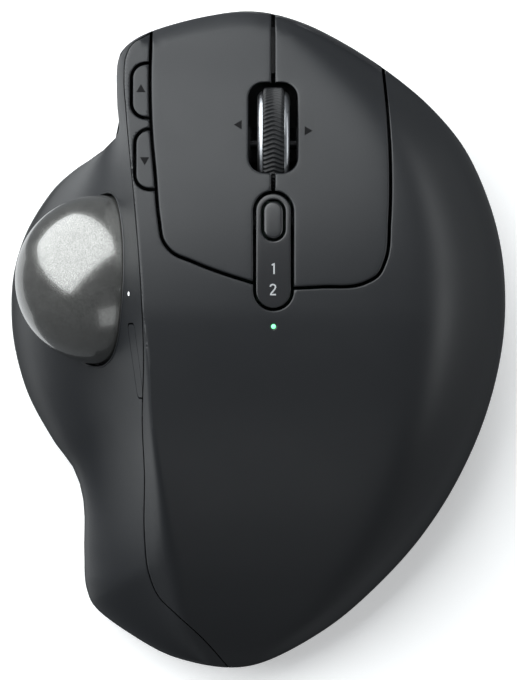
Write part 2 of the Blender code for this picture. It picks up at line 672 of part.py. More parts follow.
def precision_prism(name, length, width, depth):
    """A round-ended bar along Y, lying across the thumb-side wall."""
    centre, out = button_axis()
    bm = bmesh.new()
    ring = capsule(0, 0, width, length, 6)
    front = [bm.verts.new((x, y, depth)) for x, y in ring]
    back = [bm.verts.new((x, y, -depth)) for x, y in ring]
    bm.faces.new(front)
    bm.faces.new(back[::-1])
    for i in range(len(ring)):
        j = (i + 1) % len(ring)
        bm.faces.new((front[j], front[i], back[i], back[j]))
    across = Vector((0, 1, 0)).cross(out)
    turn = Matrix((across, Vector((0, 1, 0)), out)).transposed().to_4x4()
    bmesh.ops.transform(bm, verts=bm.verts, matrix=Matrix.Translation(centre) @ turn)
    return add(name, bm, None, helper=True)


def thumb_bottom(x, y):
    return np.maximum(inner(surface, x, y, SHELL_WALL), parting_height(x, y))


def palm_bottom(x, y):
    hollow = inner(palm_top, x, y, SHELL_WALL)
    return np.maximum(np.minimum(hollow, surface(x, y) - 1.2 * MM), parting_height(x, y))


def key_bottom(x, y):
    return np.maximum(inner(palm_top, x, y, KEY_WALL), parting_height(x, y) + KEY_DROP)


def key_top(x, y):
    return np.maximum(palm_top(x, y), parting_height(x, y) + KEY_DROP + 0.8 * MM)


def make_shells(look):
    thumb = sheet("thumb_shell", [EDGE, side_of_seam(True, SEAM_GAP / 2)], [], surface, thumb_bottom,
                  look["graphite"], 4 * MM, rings=(1.2 * MM,), creases=[ridge_line(0)])
    combine(thumb, globe("ball_opening", BALL, BALL_RADIUS + BALL_GAP, None, 48, helper=True), "DIFFERENCE")
    combine(thumb, precision_prism("precision_window", 15.4 * MM, 4.6 * MM, 5 * MM), "DIFFERENCE")
    led = np.array([*THUMB_LED_AT, height_at(surface, *THUMB_LED_AT)])
    hole = rod("thumb_led_hole", led - WALL_OUT * 5 * MM, led + WALL_OUT * 3 * MM,
               LED_RADIUS + CLEARANCE, None, 12, True)
    combine(thumb, hole, "DIFFERENCE")
    rod("thumb_led", led - WALL_OUT * 4 * MM, led - WALL_OUT * 0.2 * MM, LED_RADIUS, look["white"], 12)
    holes = [key_area(-KEY_GAP / 2), MODE_HOLE, circle(*BATTERY_LED_AT, LED_RADIUS + CLEARANCE, 12)]
    holes += [button_outline(name, KEY_GAP) for name in BUTTONS]
    sheet("palm_shell", [EDGE, side_of_seam(False, SEAM_GAP / 2)], holes, surface, palm_bottom,
          look["graphite"], 5.5 * MM, rings=(1.9 * MM,), creases=[ridge_line(0), ridge_line(2.0 * MM)])
    top = height_at(surface, *BATTERY_LED_AT)
    rod("battery_led", (*BATTERY_LED_AT, top - 5 * MM), (*BATTERY_LED_AT, top - 0.1 * MM), LED_RADIUS,
        look["green"], 12)


# Keys and buttons


def make_keys(look):
    """The two main keys, each one sheet with a plunger over its switch."""
    halves = {
        "left": rectangle(-FAR * MM, -FAR * MM, CENTRE_X - CENTRE_GAP / 2, FAR * MM),
        "right": rectangle(CENTRE_X + CENTRE_GAP / 2, -FAR * MM, FAR * MM, FAR * MM),
    }
    reach = np.array([WHEEL_HALF_WIDTH + WHEEL_SIDE_ROOM, 0, 0])
    wheel_room = rod("wheel_room", WHEEL - reach, WHEEL + reach, WHEEL_RADIUS + WHEEL_GAP, None, 64,
                     helper=True)
    for name, half in halves.items():
        key = sheet(f"{name}_key", [key_area(KEY_GAP / 2), EDGE, half], [MODE_HOLE, WHEEL_SLOT],
                    key_top, key_bottom, look["graphite"], 5 * MM, origin=KEY_HINGE[name])
        combine(key, wheel_room, "DIFFERENCE")
        x, y = KEY_SWITCH[name]
        under = height_at(key_bottom, x, y)
        foot = FRAME_TOP + CLEARANCE + SWITCH_HEIGHT + KEY_TRAVEL
        combine(key, rod(f"{name}_plunger", (x, y, foot), (x, y, under + 0.6 * MM), 1.4 * MM, None, 10, True),
                "UNION")
        block(f"{name}_switch", (x - 3 * MM, y - 5 * MM, FRAME_TOP + CLEARANCE),
              (x + 3 * MM, y + 5 * MM, FRAME_TOP + CLEARANCE + SWITCH_HEIGHT), look["dark"], 0.4 * MM)


def make_thumb_buttons(look):
    """The forward and back buttons in the band beside the left key, over switches on the mid frame."""
    for name in BUTTONS:
        outline = button_outline(name, 0.0)
        middle = outline.mean(0)
        sheet(f"{name}_button", [outline], [], palm_top,
              lambda x, y: palm_top(x, y) - BUTTON_DEPTH, look["graphite"], 3 * MM,
              origin=(*middle, Z(40)))
        front = middle[1] + 2.0 * MM
        top = height_at(palm_top, middle[0] + 1 * MM, front) - BUTTON_DEPTH - 1.2 * MM
        block(f"{name}_switch", (middle[0] - 1.0 * MM, middle[1] - 2 * MM, top - 4 * MM),
              (middle[0] + 1.0 * MM, front, top), look["dark"], 0.3 * MM)


def make_mode_panel(look):
    """The glossy strip behind the wheel, with the mode button, its board and its switch."""
    def panel_top(x, y):
        return palm_top(x, y) - 0.25 * MM

    def panel_bottom(x, y):
        return palm_top(x, y) - 1.9 * MM

    outline = capsule(MODE_X, MODE_Y, MODE_WIDTH - 1.2 * MM, MODE_LENGTH - 1.2 * MM)
    hole = capsule(MODE_X, MODE_BUTTON_Y, 4.9 * MM, 8.5 * MM)
    sheet("mode_panel", [outline], [hole], panel_top, panel_bottom, look["gloss"], 4 * MM)
    button = capsule(MODE_X, MODE_BUTTON_Y, 3.85 * MM, 7.4 * MM)
    sheet("mode_button", [button], [], lambda x, y: palm_top(x, y) + 0.1 * MM,
          lambda x, y: palm_top(x, y) - 2.4 * MM, look["gloss"], 3 * MM,
          origin=(MODE_X, MODE_BUTTON_Y, Z(44)))
    board_top = height_at(palm_top, MODE_X, MODE_Y + MODE_LENGTH / 2) - 6.0 * MM
    board_front = WHEEL[1] - WHEEL_RADIUS + 0.1 * MM
    block("mode_board", (MODE_X - 3.5 * MM, board_front - 20 * MM, board_top - 1.0 * MM),
          (MODE_X + 3.5 * MM, board_front, board_top), look["board"])
    block("mode_switch", (MODE_X - 1.6 * MM, MODE_BUTTON_Y - 1.6 * MM, board_top + CLEARANCE),
          (MODE_X + 1.6 * MM, MODE_BUTTON_Y + 1.6 * MM, board_top + 1.7 * MM), look["dark"], 0.3 * MM)


def make_precision_button(look):
    """The long button beside the ball: a piece of the thumb shell's own wall."""
    centre, out = button_axis()
    area = rectangle(X(-31), Y(-14), X(-23.2), Y(6))
    button = sheet("precision_button", [area], [], surface, lambda x, y: surface(x, y) - 9 * MM,
                   look["gloss"], 2 * MM, origin=centre - out * 1.0 * MM)
    combine(button, precision_prism("precision_limit", 14.6 * MM, 3.8 * MM, 2.2 * MM), "INTERSECT")


# Ball and its cup


def make_ball(look):
    """The ball, and the cup that holds it on three bearings, with its sensor."""
    globe("trackball", BALL, BALL_RADIUS, look["ball"], 40)
    bends = np.linspace(math.asin(EJECT_RADIUS / CUP_INNER), math.radians(102), 13)
    rows = [(CUP_INNER * math.sin(a), -CUP_INNER * math.cos(a)) for a in bends]
    rows += [(CUP_OUTER * math.sin(a), -CUP_OUTER * math.cos(a)) for a in bends[::-1]]
    rows[-1] = (rows[0][0], rows[-1][1])
    bm = bmesh.new()
    steps = 36
    rings = []
    for i in range(steps):
        angle = math.tau * i / steps
        rings.append([bm.verts.new((r * math.cos(angle), r * math.sin(angle), z)) for r, z in rows])
    for i in range(steps):
        ring, following = rings[i], rings[(i + 1) % steps]
        for j in range(len(rows)):
            k = (j + 1) % len(rows)
            bm.faces.new((ring[j], following[j], following[k], ring[k]))
    bmesh.ops.translate(bm, verts=bm.verts, vec=Vector(BALL.tolist()))
    cup = add("ball_cup", bm, look["dark"], BALL)
    region = circle(BALL[0], BALL[1], CUP_OUTER + 1 * MM, 40)
    region = region[region[:, 0] > BALL[0] - 11.4 * MM]
    cavity = sheet("cup_limit", [region], [], lambda x, y: inner(surface, x, y, SHELL_WALL) - 0.8 * MM,
                   lambda x, y: case_inner(x, y) + CLEARANCE, None, 3 * MM, helper=True)
    combine(cup, cavity, "INTERSECT")
    across = np.array([0.5, 0.0, 0.866])
    for i, turn in enumerate((90, 210, 330), 1):
        a = math.radians(turn)
        aside = across * math.cos(a) + np.array([0.0, 1.0, 0.0]) * math.sin(a)
        way = BALL_INWARD * math.cos(math.radians(42)) + aside * math.sin(math.radians(42))
        centre = BALL + way * (BALL_RADIUS + BEARING_RADIUS + CLEARANCE)
        pocket = globe(f"bearing_pocket_{i}", centre, BEARING_RADIUS + CLEARANCE, None, 12, helper=True)
        combine(cup, pocket, "DIFFERENCE")
        globe(f"bearing_{i}", centre, BEARING_RADIUS, look["ceramic"], 12)
    window = rod("sensor_window", BALL + BALL_INWARD * (CUP_INNER - 2 * MM),
                 BALL + BALL_INWARD * (CUP_OUTER + 2 * MM), LENS_RADIUS + 0.4 * MM, None, helper=True)
    combine(cup, window, "DIFFERENCE")
    lens_end = CUP_OUTER + 0.9 * MM
    rod("sensor_lens", BALL + BALL_INWARD * (CUP_OUTER - 1.0 * MM), BALL + BALL_INWARD * lens_end,
        LENS_RADIUS, look["ceramic"])
    chip_near = lens_end + 0.5 * MM
    chip_far = chip_near + 2.0 * MM
    sensor_box("sensor_chip", chip_near, chip_far, 3.0 * MM, look["dark"])
    sensor_box("sensor_board", chip_far + CLEARANCE, chip_far + CLEARANCE + 1.2 * MM, 6.0 * MM, look["board"])


def sensor_box(name, near, far, half, look):
    """A square plate facing the ball, between two distances from the ball's centre."""
    bm = bmesh.new()
    bmesh.ops.create_cube(bm, size=1)
    bmesh.ops.scale(bm, verts=bm.verts, vec=Vector((2 * half, 2 * half, far - near)))
    inward = Vector(BALL_INWARD.tolist())
    turn = inward.to_track_quat("Z", "Y").to_matrix().to_4x4()
    middle = Vector((BALL + BALL_INWARD * (near + far) / 2).tolist())
    bmesh.ops.transform(bm, verts=bm.verts, matrix=Matrix.Translation(middle) @ turn)
    return add(name, bm, look, middle)


# Wheel


def make_wheel(look):
    """The wheel on its axle, in a cradle that tilts, on a lever that is pressed."""
    tyre_inner = WHEEL_RADIUS - TYRE_DEPTH
    half = TYRE_HALF_WIDTH
    soft = 0.5 * MM
    tyre = [(-half, tyre_inner), (-half, WHEEL_RADIUS - soft), (-half + soft, WHEEL_RADIUS),
            (half - soft, WHEEL_RADIUS), (half, WHEEL_RADIUS - soft), (half, tyre_inner)]
    turned("wheel_tyre", WHEEL, tyre, look["rubber"], 48)
    bore = PIN_RADIUS + CLEARANCE
    core = tyre_inner - CLEARANCE
    turned("wheel_core", WHEEL, [(-half, bore), (-half, core), (half, core), (half, bore)], look["dark"], 32)
    rim = WHEEL_RADIUS - 0.9 * MM
    for name, side in (("left", -1), ("right", 1)):
        near, far = side * (half + CLEARANCE), side * WHEEL_HALF_WIDTH
        disc = [(near, 4 * MM), (near, rim), (near + 0.4 * (far - near), rim), (far, rim - 1.2 * MM),
                (far, 4 * MM)]
        turned(f"wheel_rim_{name}", WHEEL, disc, look["steel"], 40)
    x, y, z = WHEEL
    rod("wheel_axle", (x - 7 * MM, y, z), (x + 7 * MM, y, z), PIN_RADIUS, look["steel"], origin=WHEEL)
    drop = WHEEL_RADIUS + 1.5 * MM
    tilt = z - drop - 1.0 * MM
    cradle = block("wheel_cradle", (x - 6.3 * MM, y - 3.5 * MM, z - drop - 1.8 * MM),
                   (x + 6.3 * MM, y + 3.5 * MM, z + 2.4 * MM), look["dark"], origin=(x, y, tilt))
    space = block("cradle_space", (x - 4.6 * MM, y - 5 * MM, z - drop),
                  (x + 4.6 * MM, y + 5 * MM, z + 5 * MM), None, helper=True)
    combine(cradle, space, "DIFFERENCE")
    axle_bore = rod("axle_bore", (x - 9 * MM, y, z), (x + 9 * MM, y, z), bore, None, helper=True)
    combine(cradle, axle_bore, "DIFFERENCE")
    tilt_pin = rod("tilt_pin", (x, y - 6.8 * MM, tilt), (x, y + 6.8 * MM, tilt), TILT_PIN_RADIUS, None,
                   helper=True)
    combine(cradle, tilt_pin, "UNION")
    encoder = block("wheel_encoder", (x + 6.7 * MM, y - 4 * MM, z - 6 * MM),
                    (x + 9.4 * MM, y + 4 * MM, z + 2 * MM), look["dark"], 0.4 * MM)
    combine(encoder, rod("encoder_bore", (x + 5 * MM, y, z), (x + 12 * MM, y, z), bore, None, helper=True),
            "DIFFERENCE")
    pivot = (x, y - 16 * MM, tilt - 4.0 * MM)
    low = tilt - 5.0 * MM
    lever = block("wheel_lever", (x - 7 * MM, pivot[1] - 2 * MM, low),
                  (x + 7 * MM, y + 12 * MM, low + 1.8 * MM), look["dark"], origin=pivot)
    for i, side in enumerate((-1, 1)):
        upright = block(f"lever_upright_{i}", (x - 2.5 * MM, y + side * 4.6 * MM, low + 1.0 * MM),
                        (x + 2.5 * MM, y + side * 6.4 * MM, tilt + 2.2 * MM), None, helper=True)
        combine(lever, upright, "UNION")
    tilt_bore = rod("tilt_bore", (x, y - 8 * MM, tilt), (x, y + 8 * MM, tilt), TILT_PIN_RADIUS + 0.4 * MM,
                    None, helper=True)
    combine(lever, tilt_bore, "DIFFERENCE")
    combine(lever, lever_rod("lever_barrel", pivot, 6.8 * MM, 2.2 * MM, None), "UNION")
    combine(lever, lever_rod("lever_bore", pivot, 9.0 * MM, bore, None), "DIFFERENCE")
    lever_rod("lever_pin", pivot, 9.8 * MM, PIN_RADIUS, look["steel"])
    switch_front = USB[1] - 3.2 * MM
    block("middle_switch", (x - 3 * MM, switch_front - 6 * MM, BOARD_TOP + CLEARANCE),
          (x + 3 * MM, switch_front, low - 1.6 * MM), look["dark"], 0.4 * MM)
    return pivot


def lever_rod(name, pivot, half_length, radius, look):
    """A round bar along X through the lever's pivot, which is only a cutter or a core when it has no look."""
    x, y, z = pivot
    return rod(name, (x - half_length, y, z), (x + half_length, y, z), radius, look, helper=look is None)


def make_frame(look, pivot):
    """The mid frame that carries the key switches, with its legs and the lever's two ears."""
    x, y = WHEEL[:2]
    outline = np.array([(-20.5, 13.0), (24.0, 13.0), (24.0, 44.0), (12.0, 56.0), (-20.5, 56.0)])
    outline = outline * np.array([X(1.0), Y(1.0)])
    around_cup = circle(BALL[0], BALL[1], CUP_OUTER + 1 * MM, 32)
    cut = rectangle(x - 7.8 * MM, pivot[1] - 4 * MM, x + 11 * MM, y + 13.5 * MM)
    frame = sheet("key_frame", [outline], [cut, around_cup], level(FRAME_TOP), level(FRAME_LOW), look["dark"],
                  12 * MM)
    for side, name in ((-1, "left"), (1, "right")):
        near, far = x + side * 8.0 * MM, x + side * 9.6 * MM
        if side > 0:
            far = x + 11.6 * MM
        ear = block(f"ear_{name}", (near, pivot[1] - 2.6 * MM, pivot[2] - 2.4 * MM),
                    (far, pivot[1] + 2.6 * MM, FRAME_LOW + 0.6 * MM), None, helper=True)
        combine(frame, ear, "UNION")
    combine(frame, lever_rod("ear_bore", pivot, 10.5 * MM, PIN_RADIUS + CLEARANCE, None), "DIFFERENCE")
    for i, (leg_x, leg_y) in enumerate(LEGS, 1):
        foot = CASE_UNDERSIDE + CASE_WALL + CLEARANCE
        leg = rod(f"leg_{i}", (leg_x, leg_y, foot), (leg_x, leg_y, FRAME_LOW + 0.6 * MM),
                  LEG_RADIUS, None, 12, True)
        pilot = rod(f"pilot_{i}", (leg_x, leg_y, foot - 1 * MM), (leg_x, leg_y, foot + 6 * MM),
                    1.0 * MM, None, 12, True)
        combine(frame, leg, "UNION")
        combine(frame, pilot, "DIFFERENCE")


# Electronics


def make_electronics(look):
    board = rectangle(X(-8.5), Y(-10.0), X(12.5), Y(56.0))
    sheet("main_board", [board], [], level(BOARD_TOP), level(BOARD_LOW), look["board"], 25 * MM)
    block("usb_port", (USB[0] - 3.8 * MM, USB[1] - 1 * MM, BOARD_TOP + CLEARANCE),
          (USB[0] + 3.8 * MM, USB[1] + 6 * MM, BOARD_TOP + 3.3 * MM), look["steel"], 0.5 * MM)
    block("processor", (X(2) - 3 * MM, Y(4) - 3 * MM, BOARD_TOP + CLEARANCE),
          (X(2) + 3 * MM, Y(4) + 3 * MM, BOARD_TOP + 1.3 * MM), look["dark"], 0.2 * MM)
    block("battery", (X(0) - 12 * MM, Y(-32) - 15 * MM, BOARD_LOW),
          (X(0) + 12 * MM, Y(-32) + 15 * MM, BOARD_LOW + 6 * MM), look["cell"], 1.0 * MM)
    x, y = SWITCH_AT
    block("power_switch", (x - 3 * MM, y - 5 * MM, CASE_UNDERSIDE + CASE_WALL + CLEARANCE),
          (x + 3 * MM, y + 5 * MM, CASE_UNDERSIDE + CASE_WALL + 3.8 * MM), look["dark"], 0.4 * MM)
    block("power_slider", (x - 1.1 * MM, y - 2.6 * MM, CASE_UNDERSIDE - 0.5 * MM),
          (x + 1.1 * MM, y + 0.6 * MM, CASE_UNDERSIDE + CASE_WALL), look["gloss"], 0.2 * MM)
    for name, (mx, my) in MAGNETS.items():
        low = float(np.max(case_inner(mx + np.array([-3.2, 0, 3.2]) * MM, np.full(3, my)))) + CLEARANCE
        rod(f"magnet_{name}", (mx, my, low), (mx, my, low + 2 * MM), 3.0 * MM, look["steel"])


def main():
    for obj in list(bpy.data.objects):
        bpy.data.objects.remove(obj, do_unlink=True)
    look = looks()
    make_base(look)
    make_case(look)
    make_screws(look)
    make_shells(look)
    make_keys(look)
    make_thumb_buttons(look)
    make_mode_panel(look)
    make_precision_button(look)
    make_ball(look)
    pivot = make_wheel(look)
    make_frame(look, pivot)
    make_electronics(look)


main()
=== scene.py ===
"""The looks of the trackball mouse: fine shells, keys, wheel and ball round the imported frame.

Metres, +Z up, +Y to the front. Curves and heights are given on a design grid of 99.8 x 132.5 x 51.4 units,
which follows the frame's own box, as the solids do. Pieces are thin sheets between two height functions.
"""

import json
import math

import bmesh
import bpy
import numpy as np
from mathutils import Matrix, Vector
from mathutils.geometry import delaunay_2d_cdt


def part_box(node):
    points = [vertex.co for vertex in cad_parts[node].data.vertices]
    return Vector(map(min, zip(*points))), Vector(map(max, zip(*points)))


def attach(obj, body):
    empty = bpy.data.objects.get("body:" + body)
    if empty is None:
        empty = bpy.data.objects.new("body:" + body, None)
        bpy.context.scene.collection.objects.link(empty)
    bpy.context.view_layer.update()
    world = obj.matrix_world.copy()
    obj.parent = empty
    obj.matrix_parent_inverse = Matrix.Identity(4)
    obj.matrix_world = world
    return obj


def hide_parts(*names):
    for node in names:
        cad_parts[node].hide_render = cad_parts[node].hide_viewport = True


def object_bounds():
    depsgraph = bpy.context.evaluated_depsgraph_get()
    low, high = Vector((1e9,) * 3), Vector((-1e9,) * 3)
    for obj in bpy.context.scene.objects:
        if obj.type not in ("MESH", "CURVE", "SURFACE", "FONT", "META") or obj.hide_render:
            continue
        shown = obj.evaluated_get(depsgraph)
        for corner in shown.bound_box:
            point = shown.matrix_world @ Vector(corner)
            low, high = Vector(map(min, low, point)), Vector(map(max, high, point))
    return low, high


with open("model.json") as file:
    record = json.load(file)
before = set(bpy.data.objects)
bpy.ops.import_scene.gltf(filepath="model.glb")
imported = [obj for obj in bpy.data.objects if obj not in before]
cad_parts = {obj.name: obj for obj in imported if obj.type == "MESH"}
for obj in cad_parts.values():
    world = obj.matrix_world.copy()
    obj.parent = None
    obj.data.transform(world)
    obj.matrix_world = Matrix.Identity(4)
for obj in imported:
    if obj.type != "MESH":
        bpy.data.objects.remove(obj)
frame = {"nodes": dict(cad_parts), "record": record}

CAD_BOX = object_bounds()
MM = 0.001
DESIGN_WIDTH, DESIGN_LENGTH, DESIGN_HEIGHT = 99.8, 132.5, 51.4
WIDTH, LENGTH, HEIGHT = CAD_BOX[1] - CAD_BOX[0]


def middle(node):
    """The middle of a CAD node's box."""
    low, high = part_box(node)
    return np.array((low + high) / 2)


BALL = middle("trackball")
BALL_RADIUS = (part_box("trackball")[1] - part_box("trackball")[0]).y / 2
WHEEL = middle("wheel_tyre")
WHEEL_RADIUS = (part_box("wheel_tyre")[1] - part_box("wheel_tyre")[0]).z / 2
BALL_GAP = 0.6 * MM
WHEEL_HALF_WIDTH = 3.25 * MM
TYRE_HALF_WIDTH = 2.1 * MM
SHELL_WALL = 1.8 * MM
KEY_WALL = 1.6 * MM
SEAM_GAP = 0.16 * MM
KEY_GAP = 0.6 * MM
CENTRE_GAP = 0.8 * MM
KEY_DROP = 1.5 * MM
FINE = 1.2 * MM


def X(x):
    """A design-grid x in metres."""
    return x * WIDTH / DESIGN_WIDTH


def Y(y):
    """A design-grid y in metres."""
    return y * LENGTH / DESIGN_LENGTH


def Z(z):
    """A design-grid height in metres."""
    return z * HEIGHT / DESIGN_HEIGHT


# Curves in plan, on the design grid, as (x, y)
OUTLINE = [
    (-1.0, 66.2), (-10.9, 65.1), (-21.1, 62.3), (-26.4, 59.3), (-28.3, 55.5), (-28.4, 48.0),
    (-28.2, 42.0), (-31.4, 38.2), (-37.2, 34.2), (-41.8, 29.8), (-46.6, 22.1), (-49.2, 14.0),
    (-49.8, 6.0), (-49.0, -2.0), (-46.3, -11.2), (-41.4, -20.2), (-37.2, -26.1), (-35.2, -33.0),
    (-35.1, -43.0), (-34.6, -50.3), (-31.6, -55.3), (-21.1, -62.3), (-13.7, -65.1), (-5.6, -66.3),
    (1.4, -65.1), (10.5, -60.5), (19.1, -54.3), (29.3, -44.2), (36.8, -34.2), (42.6, -23.5),
    (46.6, -13.0), (49.1, -2.0), (49.8, 8.0), (49.0, 18.1), (46.4, 28.1), (41.8, 38.2),
    (35.4, 46.2), (27.7, 52.9), (18.1, 59.3), (8.4, 64.1),
]
SEAM = [
    (-18.0, 68.0), (-21.8, 61.7), (-25.4, 59.4), (-26.6, 56.9), (-26.9, 53.0), (-26.5, 46.0),
    (-25.8, 38.0), (-25.0, 30.0), (-24.2, 21.0), (-23.3, 8.0), (-22.9, -4.0), (-23.2, -16.7),
    (-22.8, -27.0), (-22.8, -40.0), (-22.0, -47.0), (-20.0, -51.8), (-16.8, -55.0), (-11.0, -60.4),
    (-4.5, -68.0),
]
LEFT_KEY_GAP = [
    (-21.5, 69.0), (-21.5, 62.0), (-21.7, 52.0), (-21.4, 42.0), (-20.6, 33.0), (-19.8, 24.0),
    (-18.9, 19.6), (-17.4, 17.7), (-13.0, 15.6), (-1.0, 11.4), (3.1, 10.2),
]
RIGHT_KEY_GAP = [
    (3.1, 10.2), (12.5, 10.6), (21.4, 11.4), (24.0, 12.9), (25.5, 15.8), (26.4, 24.0),
    (26.6, 34.0), (26.2, 44.0), (25.2, 55.0), (24.2, 69.0),
]
# Heights along the body, on the design grid, as (y, value)
RIDGE_HEIGHT = [
    (-66, 9.0), (-60, 17.0), (-50, 26.8), (-40, 34.6), (-30, 41.0), (-20, 46.0), (-10, 49.3), (0, 51.1),
    (5, 51.45), (10, 51.1), (20, 49.4), (30, 46.5), (40, 42.5), (50, 37.5), (60, 31.0), (66, 27.0),
]
RIDGE_X = [
    (-66, -10.0), (-60, -14.0), (-45, -18.0), (-30, -20.0), (-16, -21.5), (-3, -22.2), (6, -23.1),
    (20, -24.1), (31, -25.1), (46, -26.5), (53, -26.8), (57, -26.4), (59.4, -25.3), (62, -21.8), (66, -17.0),
]
RIGHT_PARTING = [
    (-66, 7.5), (-50, 9.5), (-30, 12.5), (-10, 15.0), (10, 17.0), (30, 18.5), (50, 20), (66, 21),
]
LEFT_PARTING = [
    (-66, 7.5), (-50, 7), (-20, 6.5), (10, 6.5), (30, 7), (40, 8.5), (50, 14), (60, 19), (66, 21),
]
RIDGE_BLEND = [(-66, 4.0), (-30, 4.0), (-12, 2.0), (4, 0.4), (66, 0.4)]
FLANK_POWER = [
    (-66, 1.3), (-45, 1.4), (-20, 1.8), (0, 1.9), (30, 1.9), (38, 1.5), (45, 0.6), (52, 0.4), (66, 0.4),
]
PARTING_LEFT, PARTING_SPAN = -34, 60
FRONT_CORNER = (-21.1, 62.3)
PINKY_RIDGE = 0.84
NOSE = 3.6
FOOT = 0.7


def smooth(table, at):
    """The smooth curve through a table's (place, value) pairs, held at its ends."""
    places, values = np.array(sorted(table), float).T
    slopes = np.gradient(values, places)
    at = np.clip(at, places[0], places[-1])
    i = np.clip(np.searchsorted(places, at) - 1, 0, len(places) - 2)
    step = places[i + 1] - places[i]
    t = (at - places[i]) / step
    start = (2 * t**3 - 3 * t**2 + 1) * values[i] + (t**3 - 2 * t**2 + t) * step * slopes[i]
    end = (3 * t**2 - 2 * t**3) * values[i + 1] + (t**3 - t**2) * step * slopes[i + 1]
    return start + end


def closed_curve(points, count):
    """A closed smooth curve through the points, at even steps along it."""
    ring = np.array(points, float)
    before, after, later = np.roll(ring, 1, 0), np.roll(ring, -1, 0), np.roll(ring, -2, 0)
    t = np.linspace(0, 1, 16, endpoint=False)[None, :, None]
    a, b, c, d = before[:, None], ring[:, None], after[:, None], later[:, None]
    fine = 0.5 * (2 * b + (c - a) * t + (2 * a - 5 * b + 4 * c - d) * t**2 + (3 * b - a - 3 * c + d) * t**3)
    fine = fine.reshape(-1, 2)
    fine = np.vstack([fine, fine[:1]])
    run = np.concatenate([[0], np.cumsum(np.linalg.norm(np.diff(fine, axis=0), axis=1))])
    at = np.linspace(0, run[-1], count, endpoint=False)
    return np.column_stack([np.interp(at, run, fine[:, 0]), np.interp(at, run, fine[:, 1])])


def body_outline(count):
    """The body's outline on the design grid, fitted to the design width and length about the origin."""
    ring = closed_curve(OUTLINE, count)
    low, high = ring.min(0), ring.max(0)
    return (ring - (low + high) / 2) * np.array([DESIGN_WIDTH, DESIGN_LENGTH]) / (high - low)


def distance_to(line, x, y):
    """The distance from each point to a polyline."""
    start, end = line[:-1], line[1:]
    along = end - start
    point = np.stack([x, y], -1)[..., None, :]
    share = ((point - start) * along).sum(-1) / (along**2).sum(-1)
    nearest = start + np.clip(share, 0, 1)[..., None] * along
    return np.linalg.norm(point - nearest, axis=-1).min(-1)


def inside(polygon, x, y):
    """Whether each point lies in a polygon."""
    x0, y0 = polygon.T
    x1, y1 = np.roll(polygon, -1, 0).T
    x, y = x[..., None], y[..., None]
    with np.errstate(divide="ignore", invalid="ignore"):
        cross = x < x0 + (y - y0) * (x1 - x0) / (y1 - y0)
    return (((y0 > y) != (y1 > y)) & cross).sum(-1) % 2 == 1


BODY = body_outline(160)
REAR = int(np.argmin(BODY[:, 1]))
FRONT_LEFT = int(np.argmin(np.hypot(*(BODY - FRONT_CORNER).T)))
LEFT_EDGE = BODY[FRONT_LEFT : REAR + 1]
OTHER_EDGE = np.vstack([BODY[REAR:], BODY[: FRONT_LEFT + 1]])
RIGHT_EDGE = BODY[REAR:][np.argsort(BODY[REAR:, 1])]


def parting(x, y):
    """The height where the shells meet the bottom case, on the design grid."""
    share = np.clip((x - PARTING_LEFT) / PARTING_SPAN, 0, 1)
    share = share * share * (3 - 2 * share)
    return smooth(LEFT_PARTING, y) * (1 - share) + smooth(RIGHT_PARTING, y) * share


def fall(t):
    """How far the palm has fallen at a share t of the way from its ridge to the right edge."""
    steady, growing, bend = 0.18, 0.20, 0.035

    def curve(t):
        """Flat up to the little finger's ridge, then a straight fall."""
        return bend * np.logaddexp(0, (t - PINKY_RIDGE) / bend)

    slope = (1 - steady - growing) / curve(1.0)
    return steady * t + growing * t * np.abs(t) + slope * curve(t)


def dome(x, y):
    """The palm's own surface, on the design grid."""
    ridge, ridge_x = smooth(RIDGE_HEIGHT, y), smooth(RIDGE_X, y)
    right_x = np.interp(y, RIGHT_EDGE[:, 1], RIGHT_EDGE[:, 0])
    width = np.maximum(right_x - ridge_x, 12)
    drop = ridge - smooth(RIGHT_PARTING, y) - 1.0
    return ridge - drop * fall((x - ridge_x) / width)


def flank(x, y):
    """The thumb side's hollow surface, from the ridge down to the left edge, on the design grid."""
    ridge_x = smooth(RIDGE_X, y)
    places = np.linspace(66, -66, 67)
    ridge = np.column_stack([smooth(RIDGE_X, places), places])
    from_ridge = distance_to(ridge, x, y) * np.where(x < ridge_x, 1, -1)
    from_edge = distance_to(LEFT_EDGE, x, y)
    share = from_ridge / np.maximum(np.abs(from_ridge) + from_edge, 0.01)
    foot = smooth(LEFT_PARTING, y) + FOOT
    top = dome(ridge_x, y)
    return foot + (top - foot) * np.maximum(1 - share, 0) ** smooth(FLANK_POWER, y)


def surface(x, y):
    """The body's outer surface in metres at points in metres, and far below outside the outline."""
    u, v = x * DESIGN_WIDTH / WIDTH, y * DESIGN_LENGTH / LENGTH
    palm, thumb = dome(u, v), flank(u, v)
    blend = smooth(RIDGE_BLEND, v)
    near = np.maximum(blend - np.abs(palm - thumb), 0) / blend
    height = np.minimum(palm, thumb) - near**2 * blend / 4
    foot = parting(u, v) + FOOT
    turn = np.clip(distance_to(OTHER_EDGE, u, v) / NOSE, 0, 1)
    rise = np.sqrt(1 - (1 - turn) ** 2)
    height = foot + np.maximum(height - foot, 0) * rise
    on_body = inside(BODY, u, v) | (turn < 0.1) | (distance_to(LEFT_EDGE, u, v) < 0.4)
    return Z(np.where(on_body, height, -90))


def palm_top(x, y):
    """The palm's and the keys' outer surface in metres, without the thumb side."""
    u, v = x * DESIGN_WIDTH / WIDTH, y * DESIGN_LENGTH / LENGTH
    foot = parting(u, v) + FOOT
    turn = np.clip(distance_to(OTHER_EDGE, u, v) / NOSE, 0, 1)
    height = foot + np.maximum(dome(u, v) - foot, 0) * np.sqrt(1 - (1 - turn) ** 2)
    outside = ~inside(BODY, u, v) & (u > smooth(RIDGE_X, v)) & (turn > 0.05)
    return Z(np.where(outside, -90, height))


